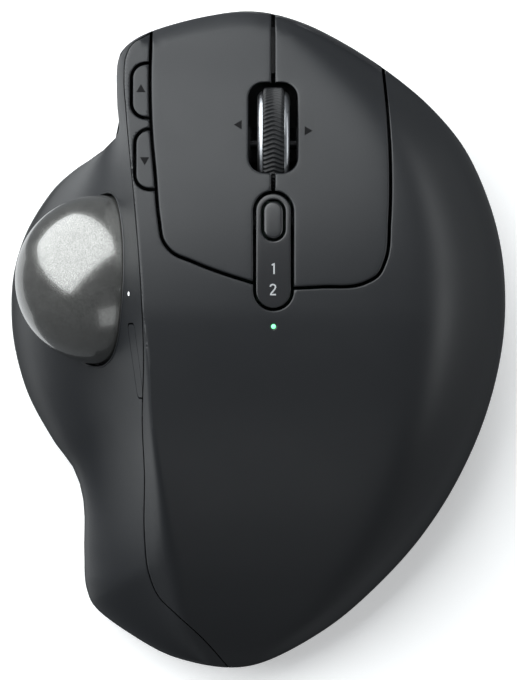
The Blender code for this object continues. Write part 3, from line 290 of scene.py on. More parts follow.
def inner(outer, x, y, wall):
    """The surface a wall's thickness inside another."""
    lowest = outer(x, y) - wall
    for reach in (0.5, 0.85, 1.0):
        for angle in np.arange(12) * math.tau / 12:
            shift_x, shift_y = wall * reach * math.cos(angle), wall * reach * math.sin(angle)
            lowest = np.minimum(lowest, outer(x + shift_x, y + shift_y) - wall * math.sqrt(1 - reach**2))
    return lowest


def parting_height(x, y):
    """The height where the shells meet the bottom case, in metres."""
    return Z(parting(x * DESIGN_WIDTH / WIDTH, y * DESIGN_LENGTH / LENGTH))


# Materials


def shader_of(name, colour, roughness, metallic=0.0):
    """A new material with its Principled shader."""
    made = bpy.data.materials.new(name)
    made.use_nodes = True
    nodes = made.node_tree.nodes
    shader = nodes["Principled BSDF"]
    shader.inputs["Base Color"].default_value = (*colour, 1)
    shader.inputs["Roughness"].default_value = roughness
    shader.inputs["Metallic"].default_value = metallic
    return made, nodes, made.node_tree.links, shader


def noise(nodes, links, scale, detail=4.0, kind="ShaderNodeTexNoise"):
    """A texture of that many features per metre, in the piece's own space."""
    place = nodes.new("ShaderNodeTexCoord")
    texture = nodes.new(kind)
    texture.inputs["Scale"].default_value = scale
    if kind == "ShaderNodeTexNoise":
        texture.inputs["Detail"].default_value = detail
    links.new(place.outputs["Object"], texture.inputs["Vector"])
    return texture


def spread(nodes, links, value, low, high, source=(0.3, 0.7)):
    """A value mapped to a range."""
    ranged = nodes.new("ShaderNodeMapRange")
    ranged.inputs["From Min"].default_value = source[0]
    ranged.inputs["From Max"].default_value = source[1]
    ranged.inputs["To Min"].default_value = low
    ranged.inputs["To Max"].default_value = high
    links.new(value, ranged.inputs["Value"])
    return ranged.outputs["Result"]


def bump(nodes, links, shader, height, depth, strength=1.0):
    """Fine relief on the shader's normal, that many metres deep."""
    relief = nodes.new("ShaderNodeBump")
    relief.inputs["Distance"].default_value = depth
    relief.inputs["Strength"].default_value = strength
    links.new(height, relief.inputs["Height"])
    links.new(relief.outputs["Normal"], shader.inputs["Normal"])


def blend_colours(nodes, links, shader, share, first, second):
    """A base colour that runs from the first to the second with a share."""
    mix = nodes.new("ShaderNodeMix")
    mix.data_type = "RGBA"
    mix.inputs["A"].default_value = (*first, 1)
    mix.inputs["B"].default_value = (*second, 1)
    links.new(share, mix.inputs["Factor"])
    links.new(mix.outputs["Result"], shader.inputs["Base Color"])


def moulded(name, colour, roughness, grain=2600, depth=0.012 * MM, vary=0.1, specular=0.5):
    """Moulded plastic: a fine spark-eroded grain, and colour and gloss that vary a little."""
    made, nodes, links, shader = shader_of(name, colour, roughness)
    shader.inputs["Specular IOR Level"].default_value = specular
    fine = noise(nodes, links, grain, 3)
    broad = noise(nodes, links, 55, 3)
    bump(nodes, links, shader, fine.outputs["Fac"], depth)
    lighter = tuple(c * (1 + vary) for c in colour)
    darker = tuple(c * (1 - vary) for c in colour)
    blend_colours(nodes, links, shader, fine.outputs["Fac"], darker, lighter)
    links.new(spread(nodes, links, broad.outputs["Fac"], roughness * 0.94, roughness * 1.06),
              shader.inputs["Roughness"])
    return made


def speckled_ball():
    """Pearl resin with very fine silver flakes, under a clear polish."""
    made, nodes, links, shader = shader_of("ball_pearl", (0.16, 0.16, 0.155), 0.22, 0.75)
    flakes = noise(nodes, links, 9000, kind="ShaderNodeTexVoronoi")
    clouds = noise(nodes, links, 420, 5)
    seen = spread(nodes, links, flakes.outputs["Color"], 0.0, 1.0, (0.2, 1.0))
    both = nodes.new("ShaderNodeMath")
    both.operation = "MULTIPLY"
    links.new(seen, both.inputs[0])
    links.new(spread(nodes, links, clouds.outputs["Fac"], 0.7, 1.0), both.inputs[1])
    blend_colours(nodes, links, shader, both.outputs[0], (0.11, 0.11, 0.105), (0.26, 0.26, 0.25))
    links.new(spread(nodes, links, clouds.outputs["Fac"], 0.16, 0.24), shader.inputs["Roughness"])
    bump(nodes, links, shader, flakes.outputs["Distance"], 0.012 * MM, 0.6)
    shader.inputs["Coat Weight"].default_value = 1.0
    shader.inputs["Coat Roughness"].default_value = 0.03
    return made


def satin_metal(name, colour, roughness):
    """Turned metal with fine brush lines."""
    made, nodes, links, shader = shader_of(name, colour, roughness, 1.0)
    lines = noise(nodes, links, 1800, 2)
    links.new(spread(nodes, links, lines.outputs["Fac"], roughness * 0.8, roughness * 1.25),
              shader.inputs["Roughness"])
    bump(nodes, links, shader, lines.outputs["Fac"], 0.004 * MM)
    shader.inputs["Anisotropic"].default_value = 0.4
    return made


def glowing(name, colour, strength):
    """A light pipe's lit end, a little brighter in its middle grain."""
    made, nodes, links, shader = shader_of(name, colour, 0.35)
    grain = noise(nodes, links, 4000, 2)
    shader.inputs["Emission Color"].default_value = (*colour, 1)
    links.new(spread(nodes, links, grain.outputs["Fac"], strength * 0.85, strength * 1.15),
              shader.inputs["Emission Strength"])
    return made


def printed(name, colour):
    """Pad-printed ink with a slightly uneven, dull film."""
    return moulded(name, colour, 0.75, 3000, 0.004 * MM, 0.06, specular=0.15)


def circuit_board():
    """Black-green solder mask with slightly paler tracks."""
    made, nodes, links, shader = shader_of("board_mask", (0.006, 0.022, 0.013), 0.4)
    tracks = noise(nodes, links, 420, kind="ShaderNodeTexVoronoi")
    lines = spread(nodes, links, tracks.outputs["Distance"], 0.0, 1.0, (0.3, 0.5))
    blend_colours(nodes, links, shader, lines, (0.006, 0.022, 0.013), (0.012, 0.04, 0.023))
    bump(nodes, links, shader, tracks.outputs["Distance"], 0.03 * MM)
    return made


GRAPHITE = (0.0094, 0.0104, 0.0122)
LOOKS = {
    "graphite": moulded("graphite_soft_touch", GRAPHITE, 0.46),
    "dark_plastic": moulded("black_moulding", (0.016, 0.0165, 0.018), 0.5, 1800, 0.02 * MM),
    "gloss": moulded("satin_black", (0.017, 0.0175, 0.019), 0.27, 2600, 0.004 * MM),
    "ball": speckled_ball(),
    "rubber": moulded("rubber_black", (0.006, 0.0064, 0.0075), 0.5, 1500, 0.02 * MM, specular=0.35),
    "steel": satin_metal("satin_steel", (0.42, 0.43, 0.45), 0.34),
    "blackened": satin_metal("blackened_steel", (0.02, 0.02, 0.021), 0.5),
    "board": circuit_board(),
    "ceramic": moulded("polished_ceramic", (0.78, 0.78, 0.76), 0.15, 1200, 0.002 * MM, 0.03),
    "cell": moulded("battery_wrap", (0.25, 0.27, 0.3), 0.4, 900, 0.02 * MM),
    "green_light": glowing("green_light", (0.2, 0.9, 0.38), 1.3),
    "white_light": glowing("white_light", (0.9, 0.92, 0.95), 1.2),
}
MARK_DARK = printed("ink_dark", (0.004, 0.004, 0.0045))
MARK_LIGHT = printed("ink_light", (0.42, 0.43, 0.44))
BLACKENED = ("wheel_axle", "lever_pin", "wheel_cradle", "wheel_encoder")


# Making pieces

ROLL_SHARES = (0.12, 0.4, 0.75, 1.1)


def add(name, bm, look, origin=(0, 0, 0), sharp=40):
    """The bmesh as an object with its origin at a point."""
    bmesh.ops.recalc_face_normals(bm, faces=bm.faces)
    origin = Vector([float(value) for value in origin])
    bmesh.ops.translate(bm, verts=bm.verts, vec=-origin)
    mesh = bpy.data.meshes.new(name)
    bm.to_mesh(mesh)
    bm.free()
    mesh.shade_smooth()
    mesh.set_sharp_from_angle(angle=math.radians(sharp))
    mesh.materials.append(look)
    obj = bpy.data.objects.new(name, mesh)
    obj.location = origin
    bpy.context.collection.objects.link(obj)
    return obj


def cut(obj, cutter, operation="DIFFERENCE"):
    """Applies a Boolean of the second object to the first, and removes the second."""
    boolean = obj.modifiers.new("cut", "BOOLEAN")
    boolean.operation = operation
    boolean.solver = "EXACT"
    boolean.object = cutter
    bpy.context.view_layer.update()
    evaluated = obj.evaluated_get(bpy.context.evaluated_depsgraph_get())
    mesh = bpy.data.meshes.new_from_object(evaluated)
    obj.modifiers.clear()
    obj.data = mesh
    mesh.set_sharp_from_angle(angle=math.radians(40))
    bpy.data.objects.remove(cutter)


def place(obj, body, node=None, slot=None):
    """Rides a piece on its body, in the place of a CAD node where it has one."""
    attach(obj, body)
    if node:
        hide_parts(node)
    return obj


def offset_loop(loop, distance):
    """A closed loop moved inwards by a distance."""
    ahead, behind = np.roll(loop, -1, 0), np.roll(loop, 1, 0)
    along = ahead - behind
    along /= np.maximum(np.linalg.norm(along, axis=1), 1e-12)[:, None]
    area = (loop[:, 0] * ahead[:, 1] - ahead[:, 0] * loop[:, 1]).sum()
    normal = np.column_stack([-along[:, 1], along[:, 0]]) * math.copysign(1, area)
    return loop + normal * distance


def offset_line(line, distance):
    """A polyline moved to its left by a distance."""
    along = np.gradient(line, axis=0)
    along /= np.linalg.norm(along, axis=1)[:, None]
    return line + np.column_stack([-along[:, 1], along[:, 0]]) * distance


def smooth_line(points, step=0.8 * MM):
    """A smooth open line through design-grid points, in metres."""
    line = np.array(points, float) * np.array([X(1.0), Y(1.0)])
    run = np.concatenate([[0], np.cumsum(np.linalg.norm(np.diff(line, axis=0), axis=1))])
    at = np.linspace(0, run[-1], int(run[-1] / step))
    return np.column_stack([smooth(list(zip(run, line[:, 0])), at), smooth(list(zip(run, line[:, 1])), at)])


def dense(loop, step=0.8 * MM):
    """A loop with extra points along its long sides."""
    points = []
    for start, end in zip(loop, np.roll(loop, -1, 0)):
        count = min(max(int(np.linalg.norm(end - start) / step), 1), 400)
        points += [start + (end - start) * i / count for i in range(count)]
    return np.array(points)


def region_test(within, without, points):
    """Whether each point is in all the first polygons and none of the others."""
    kept = np.ones(len(points), bool)
    for loop in within:
        kept &= inside(loop, *points.T)
    for loop in without:
        kept &= ~inside(loop, *points.T)
    return kept


def edge_gap(loops, points, at_once=3000):
    """The distance from each point to the nearest loop."""
    found = []
    for i in range(0, len(points), at_once):
        part = points[i : i + at_once]
        found.append(np.min([distance_to(np.vstack([loop, loop[:1]]), *part.T) for loop in loops], axis=0))
    return np.concatenate(found)


def grid_points(within, without, grid):
    """Evenly spaced points, in staggered rows, in all the first polygons and none of the others."""
    low, high = within[0].min(0), within[0].max(0)
    for loop in within[1:]:
        low, high = np.maximum(low, loop.min(0)), np.minimum(high, loop.max(0))
    axes = np.meshgrid(np.arange(low[0], high[0], grid), np.arange(low[1], high[1], grid))
    free = np.column_stack([axis.ravel() for axis in axes])
    free[:, 0] += np.where(np.round(free[:, 1] / grid).astype(int) % 2 == 0, 0, grid / 2)
    return free[region_test(within, without, free)]


def triangulated(points, edges, within, without):
    """The triangles through points and along edges that lie in the region, with the points they use."""
    found = delaunay_2d_cdt([Vector(point) for point in (points / MM).tolist()], edges, [], 0, 1e-4)
    spots = np.array([tuple(point) for point in found[0]]) * MM
    faces = np.array(found[2])
    faces = faces[region_test(within, without, spots[faces].mean(1))]
    used = np.unique(faces)
    order = np.full(len(spots), -1)
    order[used] = np.arange(len(used))
    return order[faces], spots[used]


def closed_sheet(spots, faces, upper, lower):
    """A bmesh of the same triangles at two heights, with walls along their free edges."""
    bm = bmesh.new()
    above = [bm.verts.new((x, y, z)) for (x, y), z in zip(spots, upper)]
    below = [bm.verts.new((x, y, z)) for (x, y), z in zip(spots, lower)]
    sides = set()
    for a, b, c in faces:
        bm.faces.new((above[a], above[b], above[c]))
        bm.faces.new((below[c], below[b], below[a]))
        sides.update(((a, b), (b, c), (c, a)))
    for a, b in sides:
        if (b, a) not in sides:
            bm.faces.new((above[b], above[a], below[a], below[b]))
    return bm


def sheet(name, within, without, top, bottom, look, grid=FINE, roll=0.3 * MM, nose=(), creases=(),
          flat=False, origin=(0, 0, 0)):
    """A solid between two surfaces, over the region in all the first polygons and none of the others.

    Its upper edges are rolled over by a small radius, and it has extra rows of points at the nose distances
    inside its first polygon and along its creases.
    """
    loops = list(within) + list(without)
    points, edges = np.vstack(loops), []
    start = 0
    for loop in loops:
        edges += [(start + i, start + (i + 1) % len(loop)) for i in range(len(loop))]
        start += len(loop)
    free = grid_points(within, without, grid)
    free = free[edge_gap(loops, free) > max(2 * roll, 0.4 * grid)]
    rows = list(creases)
    for share in ROLL_SHARES:
        for loop in loops:
            side = 1 if any(loop is one for one in within) else -1
            rows.append(offset_loop(loop, side * share * roll))
    rows += [offset_loop(within[0], distance) for distance in nose]
    wanted = [0.0] * len(creases) + [share * roll * 0.9 for share in ROLL_SHARES for _ in loops]
    wanted += [0.9 * distance for distance in nose]
    extra = []
    for i, row in enumerate(rows):
        row = row[region_test(within, without, row)]
        if len(row):
            row = row[edge_gap(loops, row) > max(wanted[i], 0.05 * MM if i < len(creases) else 0)]
        extra.append(row)
    guides = [row for row in extra[: len(creases)] + extra[len(extra) - len(nose):] if len(row)]
    if guides and len(free):
        near = np.min([np.linalg.norm(free[:, None] - row[None], axis=2).min(1) for row in guides], axis=0)
        free = free[near > 0.45 * grid]
    faces, spots = triangulated(np.vstack([points, free] + extra), edges, within, without)
    upper = top(*spots.T)
    if roll and not flat:
        gap = np.minimum(edge_gap(loops, spots), roll)
        upper = upper - roll + np.sqrt(roll**2 - (roll - gap) ** 2)
    lower = np.minimum(bottom(*spots.T), upper - 0.05 * MM)
    return add(name, closed_sheet(spots, faces, upper, lower), look, origin)


def sampled(function, step=1.5 * MM):
    """A quick stand-in for a height function, read from a grid of its values."""
    xs = np.arange(-WIDTH / 2 - 3 * MM, WIDTH / 2 + 3 * MM + step, step)
    ys = np.arange(-LENGTH / 2 - 3 * MM, LENGTH / 2 + 3 * MM + step, step)
    values = function(*np.meshgrid(xs, ys, indexing="ij"))

    def look_up(x, y):
        """The height between the four nearest grid values."""
        i = np.clip(((x - xs[0]) / step).astype(int), 0, len(xs) - 2)
        j = np.clip(((y - ys[0]) / step).astype(int), 0, len(ys) - 2)
        s, t = (x - xs[i]) / step, (y - ys[j]) / step
        near = values[i, j] * (1 - t) + values[i, j + 1] * t
        far = values[i + 1, j] * (1 - t) + values[i + 1, j + 1] * t
        return near * (1 - s) + far * s

    return look_up


def capsule(x, y, width, length, steps=24):
    """A slot with round ends, along Y."""
    radius = width / 2
    turn = np.linspace(0, math.pi, steps + 1)
    ends = [(x + radius * math.cos(a), y + (length / 2 - radius) + radius * math.sin(a)) for a in turn]
    ends += [(x - radius * math.cos(a), y - (length / 2 - radius) - radius * math.sin(a)) for a in turn]
    return dense(np.array(ends))


def rounded_slot(x, y, width, length, radius, steps=10):
    """A slot along Y whose corners are rounded, with straight ends between them."""
    points = []
    for quarter, (side_x, side_y) in enumerate(((1, 1), (-1, 1), (-1, -1), (1, -1))):
        centre_x, centre_y = x + side_x * (width / 2 - radius), y + side_y * (length / 2 - radius)
        for turn in (quarter + np.linspace(0, 1, steps)) * math.pi / 2:
            points.append((centre_x + radius * math.cos(turn), centre_y + radius * math.sin(turn)))
    return dense(np.array(points), 0.6 * MM)


def circle(x, y, radius, steps=32):
    """A round loop."""
    turn = np.arange(steps) * math.tau / steps
    return np.column_stack([x + radius * np.cos(turn), y + radius * np.sin(turn)])


def rectangle(x0, y0, x1, y1):
    """A loop of four corners."""
    return np.array([(x0, y0), (x1, y0), (x1, y1), (x0, y1)])


def turned(name, centre, profile, look, steps=160):
    """A closed ring about X through a centre, from a profile of (along X, radius) points."""
    bm = bmesh.new()
    rows = []
    for i in range(steps):
        angle = math.tau * i / steps
        rows.append([bm.verts.new((x, r * math.sin(angle), r * math.cos(angle))) for x, r in profile])
    for i in range(steps):
        row, following = rows[i], rows[(i + 1) % steps]
        for j in range(len(profile)):
            k = (j + 1) % len(profile)
            bm.faces.new((row[j], row[k], following[k], following[j]))
    obj = add(name, bm, look)
    obj.location = Vector(centre.tolist())
    return obj


def globe(name, centre, radius, look):
    """A fine sphere with its origin at its centre."""
    bm = bmesh.new()
    bmesh.ops.create_icosphere(bm, subdivisions=6, radius=radius)
    bmesh.ops.translate(bm, verts=bm.verts, vec=Vector(centre.tolist()))
    return add(name, bm, look, centre)


# Regions in plan, in metres

FAR = 90 * MM
EDGE = body_outline(420) * np.array([X(1.0), Y(1.0)])
SEAM_LINE = smooth_line(SEAM)
MODE_X, MODE_Y, MODE_WIDTH, MODE_LENGTH = X(3.1), Y(17.85), 8.2 * MM, 24.1 * MM
MODE_BUTTON_Y = Y(24.0)
CENTRE_X = X(3.05)
WHEEL_SLOT = rounded_slot(X(3.0), Y(42.6), 9.9 * MM, 18.3 * MM, 3.1 * MM)
MODE_HOLE = capsule(MODE_X, MODE_Y, MODE_WIDTH, MODE_LENGTH)
BUTTONS = {"forward": (44.8, 55.3, -25.1), "back": (30.4, 42.0, -24.4)}
NOSE_ROWS = [d * MM for d in (0.08, 0.2, 0.38, 0.6, 0.9, 1.25, 1.7, 2.2, 2.8, 3.4)]
WALL_OUT = Vector((-0.94, 0.0, 0.33)).normalized()
WINDOW_PLACE = (X(-24.5), Y(-4.2))
THUMB_LIGHT_PLACE = (X(-26.0), Y(9.25))
CHARGE_LIGHT_PLACE = (X(3.1), Y(2.7))
PANEL_GAP = 0.6 * MM


def ridge_line(aside=0.0):
    """The ridge between palm and thumb side, moved towards the palm by a distance."""
    y = np.linspace(61, -62, 160)
    return np.column_stack([X(smooth(RIDGE_X, y)) + aside, Y(y)])


def side_of_seam(thumb, gap):
    """A polygon that takes in everything on one side of the seam between the shells."""
    far_x = -FAR if thumb else FAR
    line = offset_line(SEAM_LINE, -gap if thumb else gap)
    return dense(np.vstack([line, [(far_x, line[-1, 1]), (far_x, line[0, 1])]]), 4 * MM)


def key_area(gap):
    """The polygon of both keys, moved inwards from their outer gaps by a distance."""
    left = offset_line(smooth_line(LEFT_KEY_GAP), gap)
    right = offset_line(smooth_line(RIGHT_KEY_GAP), gap)
    left = left[left[:, 0] < CENTRE_X]
    right = right[right[:, 0] > CENTRE_X]
    return dense(np.vstack([left, right]), 1 * MM)


def button_outline(name, grow):
    """A thumb-side button's outline, running on into the left key."""
    low, high, left = BUTTONS[name]
    low, high, left = Y(low) - grow, Y(high) + grow, X(left) - grow
    right, radius = X(-19.0), 2.7 * MM + grow
    turn = np.linspace(0, math.pi / 2, 9)
    upper = [(left + radius * (1 - math.sin(a)), high - radius * (1 - math.cos(a))) for a in turn]
    lower = [(left + radius * (1 - math.cos(a)), low + radius * (1 - math.sin(a))) for a in turn]
    return dense(np.array([(right, high)] + upper + lower + [(right, low)]), 0.6 * MM)


def height_at(function, x, y):
    """A height function's value at one point."""
    return float(function(np.array([x]), np.array([y]))[0])


def on_surface(place):
    """The point of the outer surface at a place in plan."""
    return Vector((*place, height_at(surface, *place)))


# Shells


def wall_bar(name, length, width, height, depth):
    """A round-cornered bar along Y, square to the steep wall beside the ball."""
    centre = on_surface(WINDOW_PLACE)
    radius = 1.2 * MM
    ring = []
    for corner, (side_x, side_y) in enumerate(((1, 1), (-1, 1), (-1, -1), (1, -1))):
        for a in np.linspace(0, math.pi / 2, 7) + corner * math.pi / 2:
            ring.append((side_x * (width / 2 - radius) + radius * math.cos(a),
                         side_y * (length / 2 - radius) + radius * math.sin(a)))
    bm = bmesh.new()
    front = [bm.verts.new((px, py, height)) for px, py in ring]
    back = [bm.verts.new((px, py, -depth)) for px, py in ring]
    bm.faces.new(front)
    bm.faces.new(back[::-1])
    for i in range(len(ring)):
        j = (i + 1) % len(ring)
        bm.faces.new((front[j], front[i], back[i], back[j]))
    across = Vector((0, 1, 0)).cross(WALL_OUT)
    turn = Matrix((across, Vector((0, 1, 0)), WALL_OUT)).transposed().to_4x4()
    bmesh.ops.transform(bm, verts=bm.verts, matrix=Matrix.Translation(centre) @ turn)
    return add(name, bm, LOOKS["graphite"])


def lip_line(radius, count=240):
    """Where a sphere about the ball meets the outer surface."""
    out = np.array([-0.866, 0.0, 0.5])
    first, second = np.array([0.0, 1.0, 0.0]), np.array([0.5, 0.0, 0.866])
    polar = np.radians(np.linspace(20, 125, 211))
    line = []
    for turn in np.arange(count) * math.tau / count:
        aside = first * math.cos(turn) + second * math.sin(turn)
        points = BALL + radius * (out * np.cos(polar)[:, None] + aside * np.sin(polar)[:, None])
        over = points[:, 2] - surface(points[:, 0], points[:, 1])
        k = int(np.argmax(over < 0))
        share = over[k - 1] / (over[k - 1] - over[k])
        line.append(points[k - 1] + (points[k] - points[k - 1]) * share)
    return np.array(line)


def tube(bm, line, radius, steps=10):
    """A closed tube along a closed line, made in a bmesh."""
    rings = []
    count = len(line)
    for i in range(count):
        along = Vector((line[(i + 1) % count] - line[i - 1]).tolist()).normalized()
        out = Vector((line[i] - BALL).tolist())
        aside = (out - along * out.dot(along)).normalized()
        other = along.cross(aside)
        here = Vector(line[i].tolist())
        rings.append([bm.verts.new(here + radius * (aside * math.cos(a) + other * math.sin(a)))
                      for a in np.arange(steps) * math.tau / steps])
    for i in range(count):
        ring, following = rings[i], rings[(i + 1) % count]
        for j in range(steps):
            k = (j + 1) % steps
            bm.faces.new((ring[j], ring[k], following[k], following[j]))


def make_thumb_shell():
    """The thumb side's cover, with its openings and the rounded lip round the ball."""
    hollow = sampled(lambda x, y: np.maximum(inner(surface, x, y, SHELL_WALL), parting_height(x, y)))
    shell = sheet("thumb_side_shell", [EDGE, side_of_seam(True, SEAM_GAP / 2)], [], surface, hollow,
                  LOOKS["graphite"], roll=0.25 * MM, nose=NOSE_ROWS, creases=[ridge_line()])
    cut(shell, globe("ball_cutter", BALL, BALL_RADIUS + BALL_GAP, LOOKS["graphite"]))
    cut(shell, wall_bar("window_cutter", 15.3 * MM, 4.3 * MM, 5 * MM, 5 * MM))
    light = on_surface(THUMB_LIGHT_PLACE)
    start, end = light - WALL_OUT * 5 * MM, light + WALL_OUT * 3 * MM
    cut(shell, rod("led_cutter", start, end, 0.62 * MM, LOOKS["graphite"]))
    place(shell, "body", "thumb_shell", "graphite")
    bm = bmesh.new()
    tube(bm, lip_line(BALL_RADIUS + BALL_GAP + 0.05 * MM), 0.2 * MM)
    place(add("ball_opening_lip", bm, LOOKS["graphite"]), "body", slot="graphite")


def rod(name, start, end, radius, look, steps=40, dome=0.0):
    """A round bar between two points, with a domed end if asked."""
    axis = (end - start).normalized()
    length = (end - start).length
    profile = [(0.0, 0.0), (radius, 0.0), (radius, length - dome)]
    if dome:
        bend = np.linspace(0, math.pi / 2, 7)[1:-1]
        profile += [(radius * math.cos(a), length - dome + dome * math.sin(a)) for a in bend]
    profile += [(0.0, length)]
    bm = bmesh.new()
    bottom, top = bm.verts.new((0, 0, 0)), bm.verts.new((0, 0, length))
    rows = [[bm.verts.new((r * math.cos(a), r * math.sin(a), z)) for a in np.arange(steps) * math.tau / steps]
            for r, z in profile[1:-1]]
    for i in range(steps):
        j = (i + 1) % steps
        bm.faces.new((bottom, rows[0][j], rows[0][i]))
        bm.faces.new((top, rows[-1][i], rows[-1][j]))
        for low, high in zip(rows, rows[1:]):
            bm.faces.new((low[i], low[j], high[j], high[i]))
    turn = axis.to_track_quat("Z", "Y").to_matrix().to_4x4()
    bmesh.ops.transform(bm, verts=bm.verts, matrix=Matrix.Translation(start) @ turn)
    return add(name, bm, look)


def palm_hollow(x, y):
    """The inside of the palm cover, in metres."""
    height = np.minimum(inner(palm_top, x, y, SHELL_WALL), surface(x, y) - 1.2 * MM)
    return np.maximum(height, parting_height(x, y))


def make_palm_shell():
    """The palm cover, open for the keys, buttons, mode panel and charge light."""
    holes = [key_area(-KEY_GAP / 2), MODE_HOLE, circle(*CHARGE_LIGHT_PLACE, 0.54 * MM)]
    holes += [button_outline(name, 0.6 * MM) for name in BUTTONS]
    shell = sheet("palm_side_shell", [EDGE, side_of_seam(False, SEAM_GAP / 2)], holes, surface,
                  sampled(palm_hollow), LOOKS["graphite"], roll=0.3 * MM, nose=NOSE_ROWS,
                  creases=[ridge_line(aside * MM) for aside in (-0.8, -0.4, 0.0, 0.4, 0.8, 1.3, 2.0)])
    place(shell, "body", "palm_shell", "graphite")


def make_light_pipes():
    """The charge light on the palm and the speed light beside the ball, each with a domed end."""
    dome = 0.2 * MM
    top = on_surface(CHARGE_LIGHT_PLACE)
    light = rod("charge_light", top - Vector((0, 0, 4 * MM)), top, 0.48 * MM, LOOKS["green_light"], dome=dome)
    place(light, "body", "battery_led", "green_light")
    top = on_surface(THUMB_LIGHT_PLACE)
    light = rod("speed_light", top - WALL_OUT * 1.8 * MM, top + WALL_OUT * 0.05 * MM, 0.45 * MM,
                LOOKS["white_light"], dome=dome)
    place(light, "body", "thumb_led", "white_light")


# Keys and buttons


def key_bottom(x, y):
    """The underside of the keys, in metres."""
    return np.maximum(inner(palm_top, x, y, KEY_WALL), parting_height(x, y) + KEY_DROP)


def key_top(x, y):
    """The keys' outer surface, which ends above the case at the front, in metres."""
    return np.maximum(palm_top(x, y), parting_height(x, y) + KEY_DROP + 0.8 * MM)


def make_keys():
    """The two click keys, one on each side of the gap that the wheel stands in."""
    halves = {
        "left": rectangle(-FAR, -FAR, CENTRE_X - CENTRE_GAP / 2, FAR),
        "right": rectangle(CENTRE_X + CENTRE_GAP / 2, -FAR, FAR, FAR),
    }
    hollow = sampled(key_bottom)
    for name, half in halves.items():
        key = sheet(f"{name}_click_key", [EDGE, key_area(KEY_GAP / 2), dense(half, 1 * MM)],
                    [MODE_HOLE, WHEEL_SLOT], key_top, hollow, LOOKS["graphite"], roll=0.4 * MM,
                    nose=NOSE_ROWS)
        place(key, f"{name}_key", f"{name}_key", "graphite")


def make_key_tray():
    """A dark shelf under the keys' fronts, which closes the view in through their gaps."""
    inset = offset_loop(EDGE, 2.6 * MM)
    front = rectangle(X(-18.5), Y(53.5), X(22.5), Y(68))
    tray = sheet("key_tray", [dense(front, 1 * MM), inset], [], lambda x, y: key_bottom(x, y) - 2.6 * MM,
                 lambda x, y: key_bottom(x, y) - 3.6 * MM, LOOKS["rubber"])
    place(tray, "body", slot="rubber")


def make_thumb_buttons():
    """The forward and back buttons, which end at the left key's gap."""
    beside_key = offset_line(smooth_line(LEFT_KEY_GAP), -KEY_GAP / 2)
    beside_key = np.vstack([beside_key, [(-FAR, beside_key[-1, 1]), (-FAR, beside_key[0, 1])]])
    for name in BUTTONS:
        button = sheet(f"{name}_rocker", [button_outline(name, 0.0), dense(beside_key, 2 * MM)], [], palm_top,
                       lambda x, y: palm_top(x, y) - 2.2 * MM, LOOKS["graphite"], 0.5 * MM, 0.35 * MM)
        place(button, f"{name}_button", f"{name}_button", "graphite")


def panel_top(x, y):
    """The mode panel's top, a little below the keys."""
    return palm_top(x, y) - 0.25 * MM


def make_mode_panel():
    """The strip behind the wheel, and the button in it."""
    outline = capsule(MODE_X, MODE_Y, MODE_WIDTH - 2 * PANEL_GAP, MODE_LENGTH - 2 * PANEL_GAP)
    hole = capsule(MODE_X, MODE_BUTTON_Y, 4.85 * MM, 8.4 * MM)
    panel = sheet("mode_strip", [outline], [hole], panel_top, lambda x, y: palm_top(x, y) - 1.9 * MM,
                  LOOKS["gloss"], 0.6 * MM, 0.3 * MM)
    place(panel, "body", "mode_panel", "gloss")
    outline = capsule(MODE_X, MODE_BUTTON_Y, 3.85 * MM, 7.4 * MM)
    button = sheet("mode_key", [outline], [], lambda x, y: palm_top(x, y) + 0.1 * MM,
                   lambda x, y: palm_top(x, y) - 2.4 * MM, LOOKS["gloss"], 0.5 * MM, 0.5 * MM)
    place(button, "mode_button", "mode_button", "gloss")


def make_precision_button():
    """The button in the wall beside the ball: the part of the wall that a bar takes in."""
    area = rectangle(X(-31), Y(-14), X(-23.2), Y(6))
    button = sheet("slow_button", [dense(area, 0.5 * MM)], [], surface,
                   lambda x, y: surface(x, y) - 9 * MM, LOOKS["graphite"], 0.5 * MM, flat=True)
    bar = wall_bar("button_limit", 14.6 * MM, 3.9 * MM, 5 * MM, 2.2 * MM)
    cut(button, bar, "INTERSECT")
    place(button, "precision_button", "precision_button", "gloss")


def mark(name, outline, top, body, look):
    """A thin film of ink on a surface."""
    film = sheet(name, [dense(np.array(outline), 0.3 * MM)], [], lambda x, y: top(x, y) + 0.04 * MM,
                 lambda x, y: top(x, y) - 0.15 * MM, look, 0.4 * MM, 0.0, flat=True)
    place(film, body)


def arrow(x, y, turn, size=1.05 * MM):
    """A small triangle that points to the front, turned to the left by an angle."""
    corners = []
    for angle in (0, 120, 240):
        a = math.radians(90 + angle + turn)
        corners.append((X(x) + size * math.cos(a), Y(y) + size * math.sin(a)))
    return corners


def stroke(points, x, y, width=0.3 * MM, size=1.1 * MM):
    """The outline of a pen stroke through points, each from -1 to 1."""
    line = np.array(points, float) * size + np.array([X(x), Y(y)])
    return np.vstack([offset_line(line, width / 2), offset_line(line, -width / 2)[::-1]])


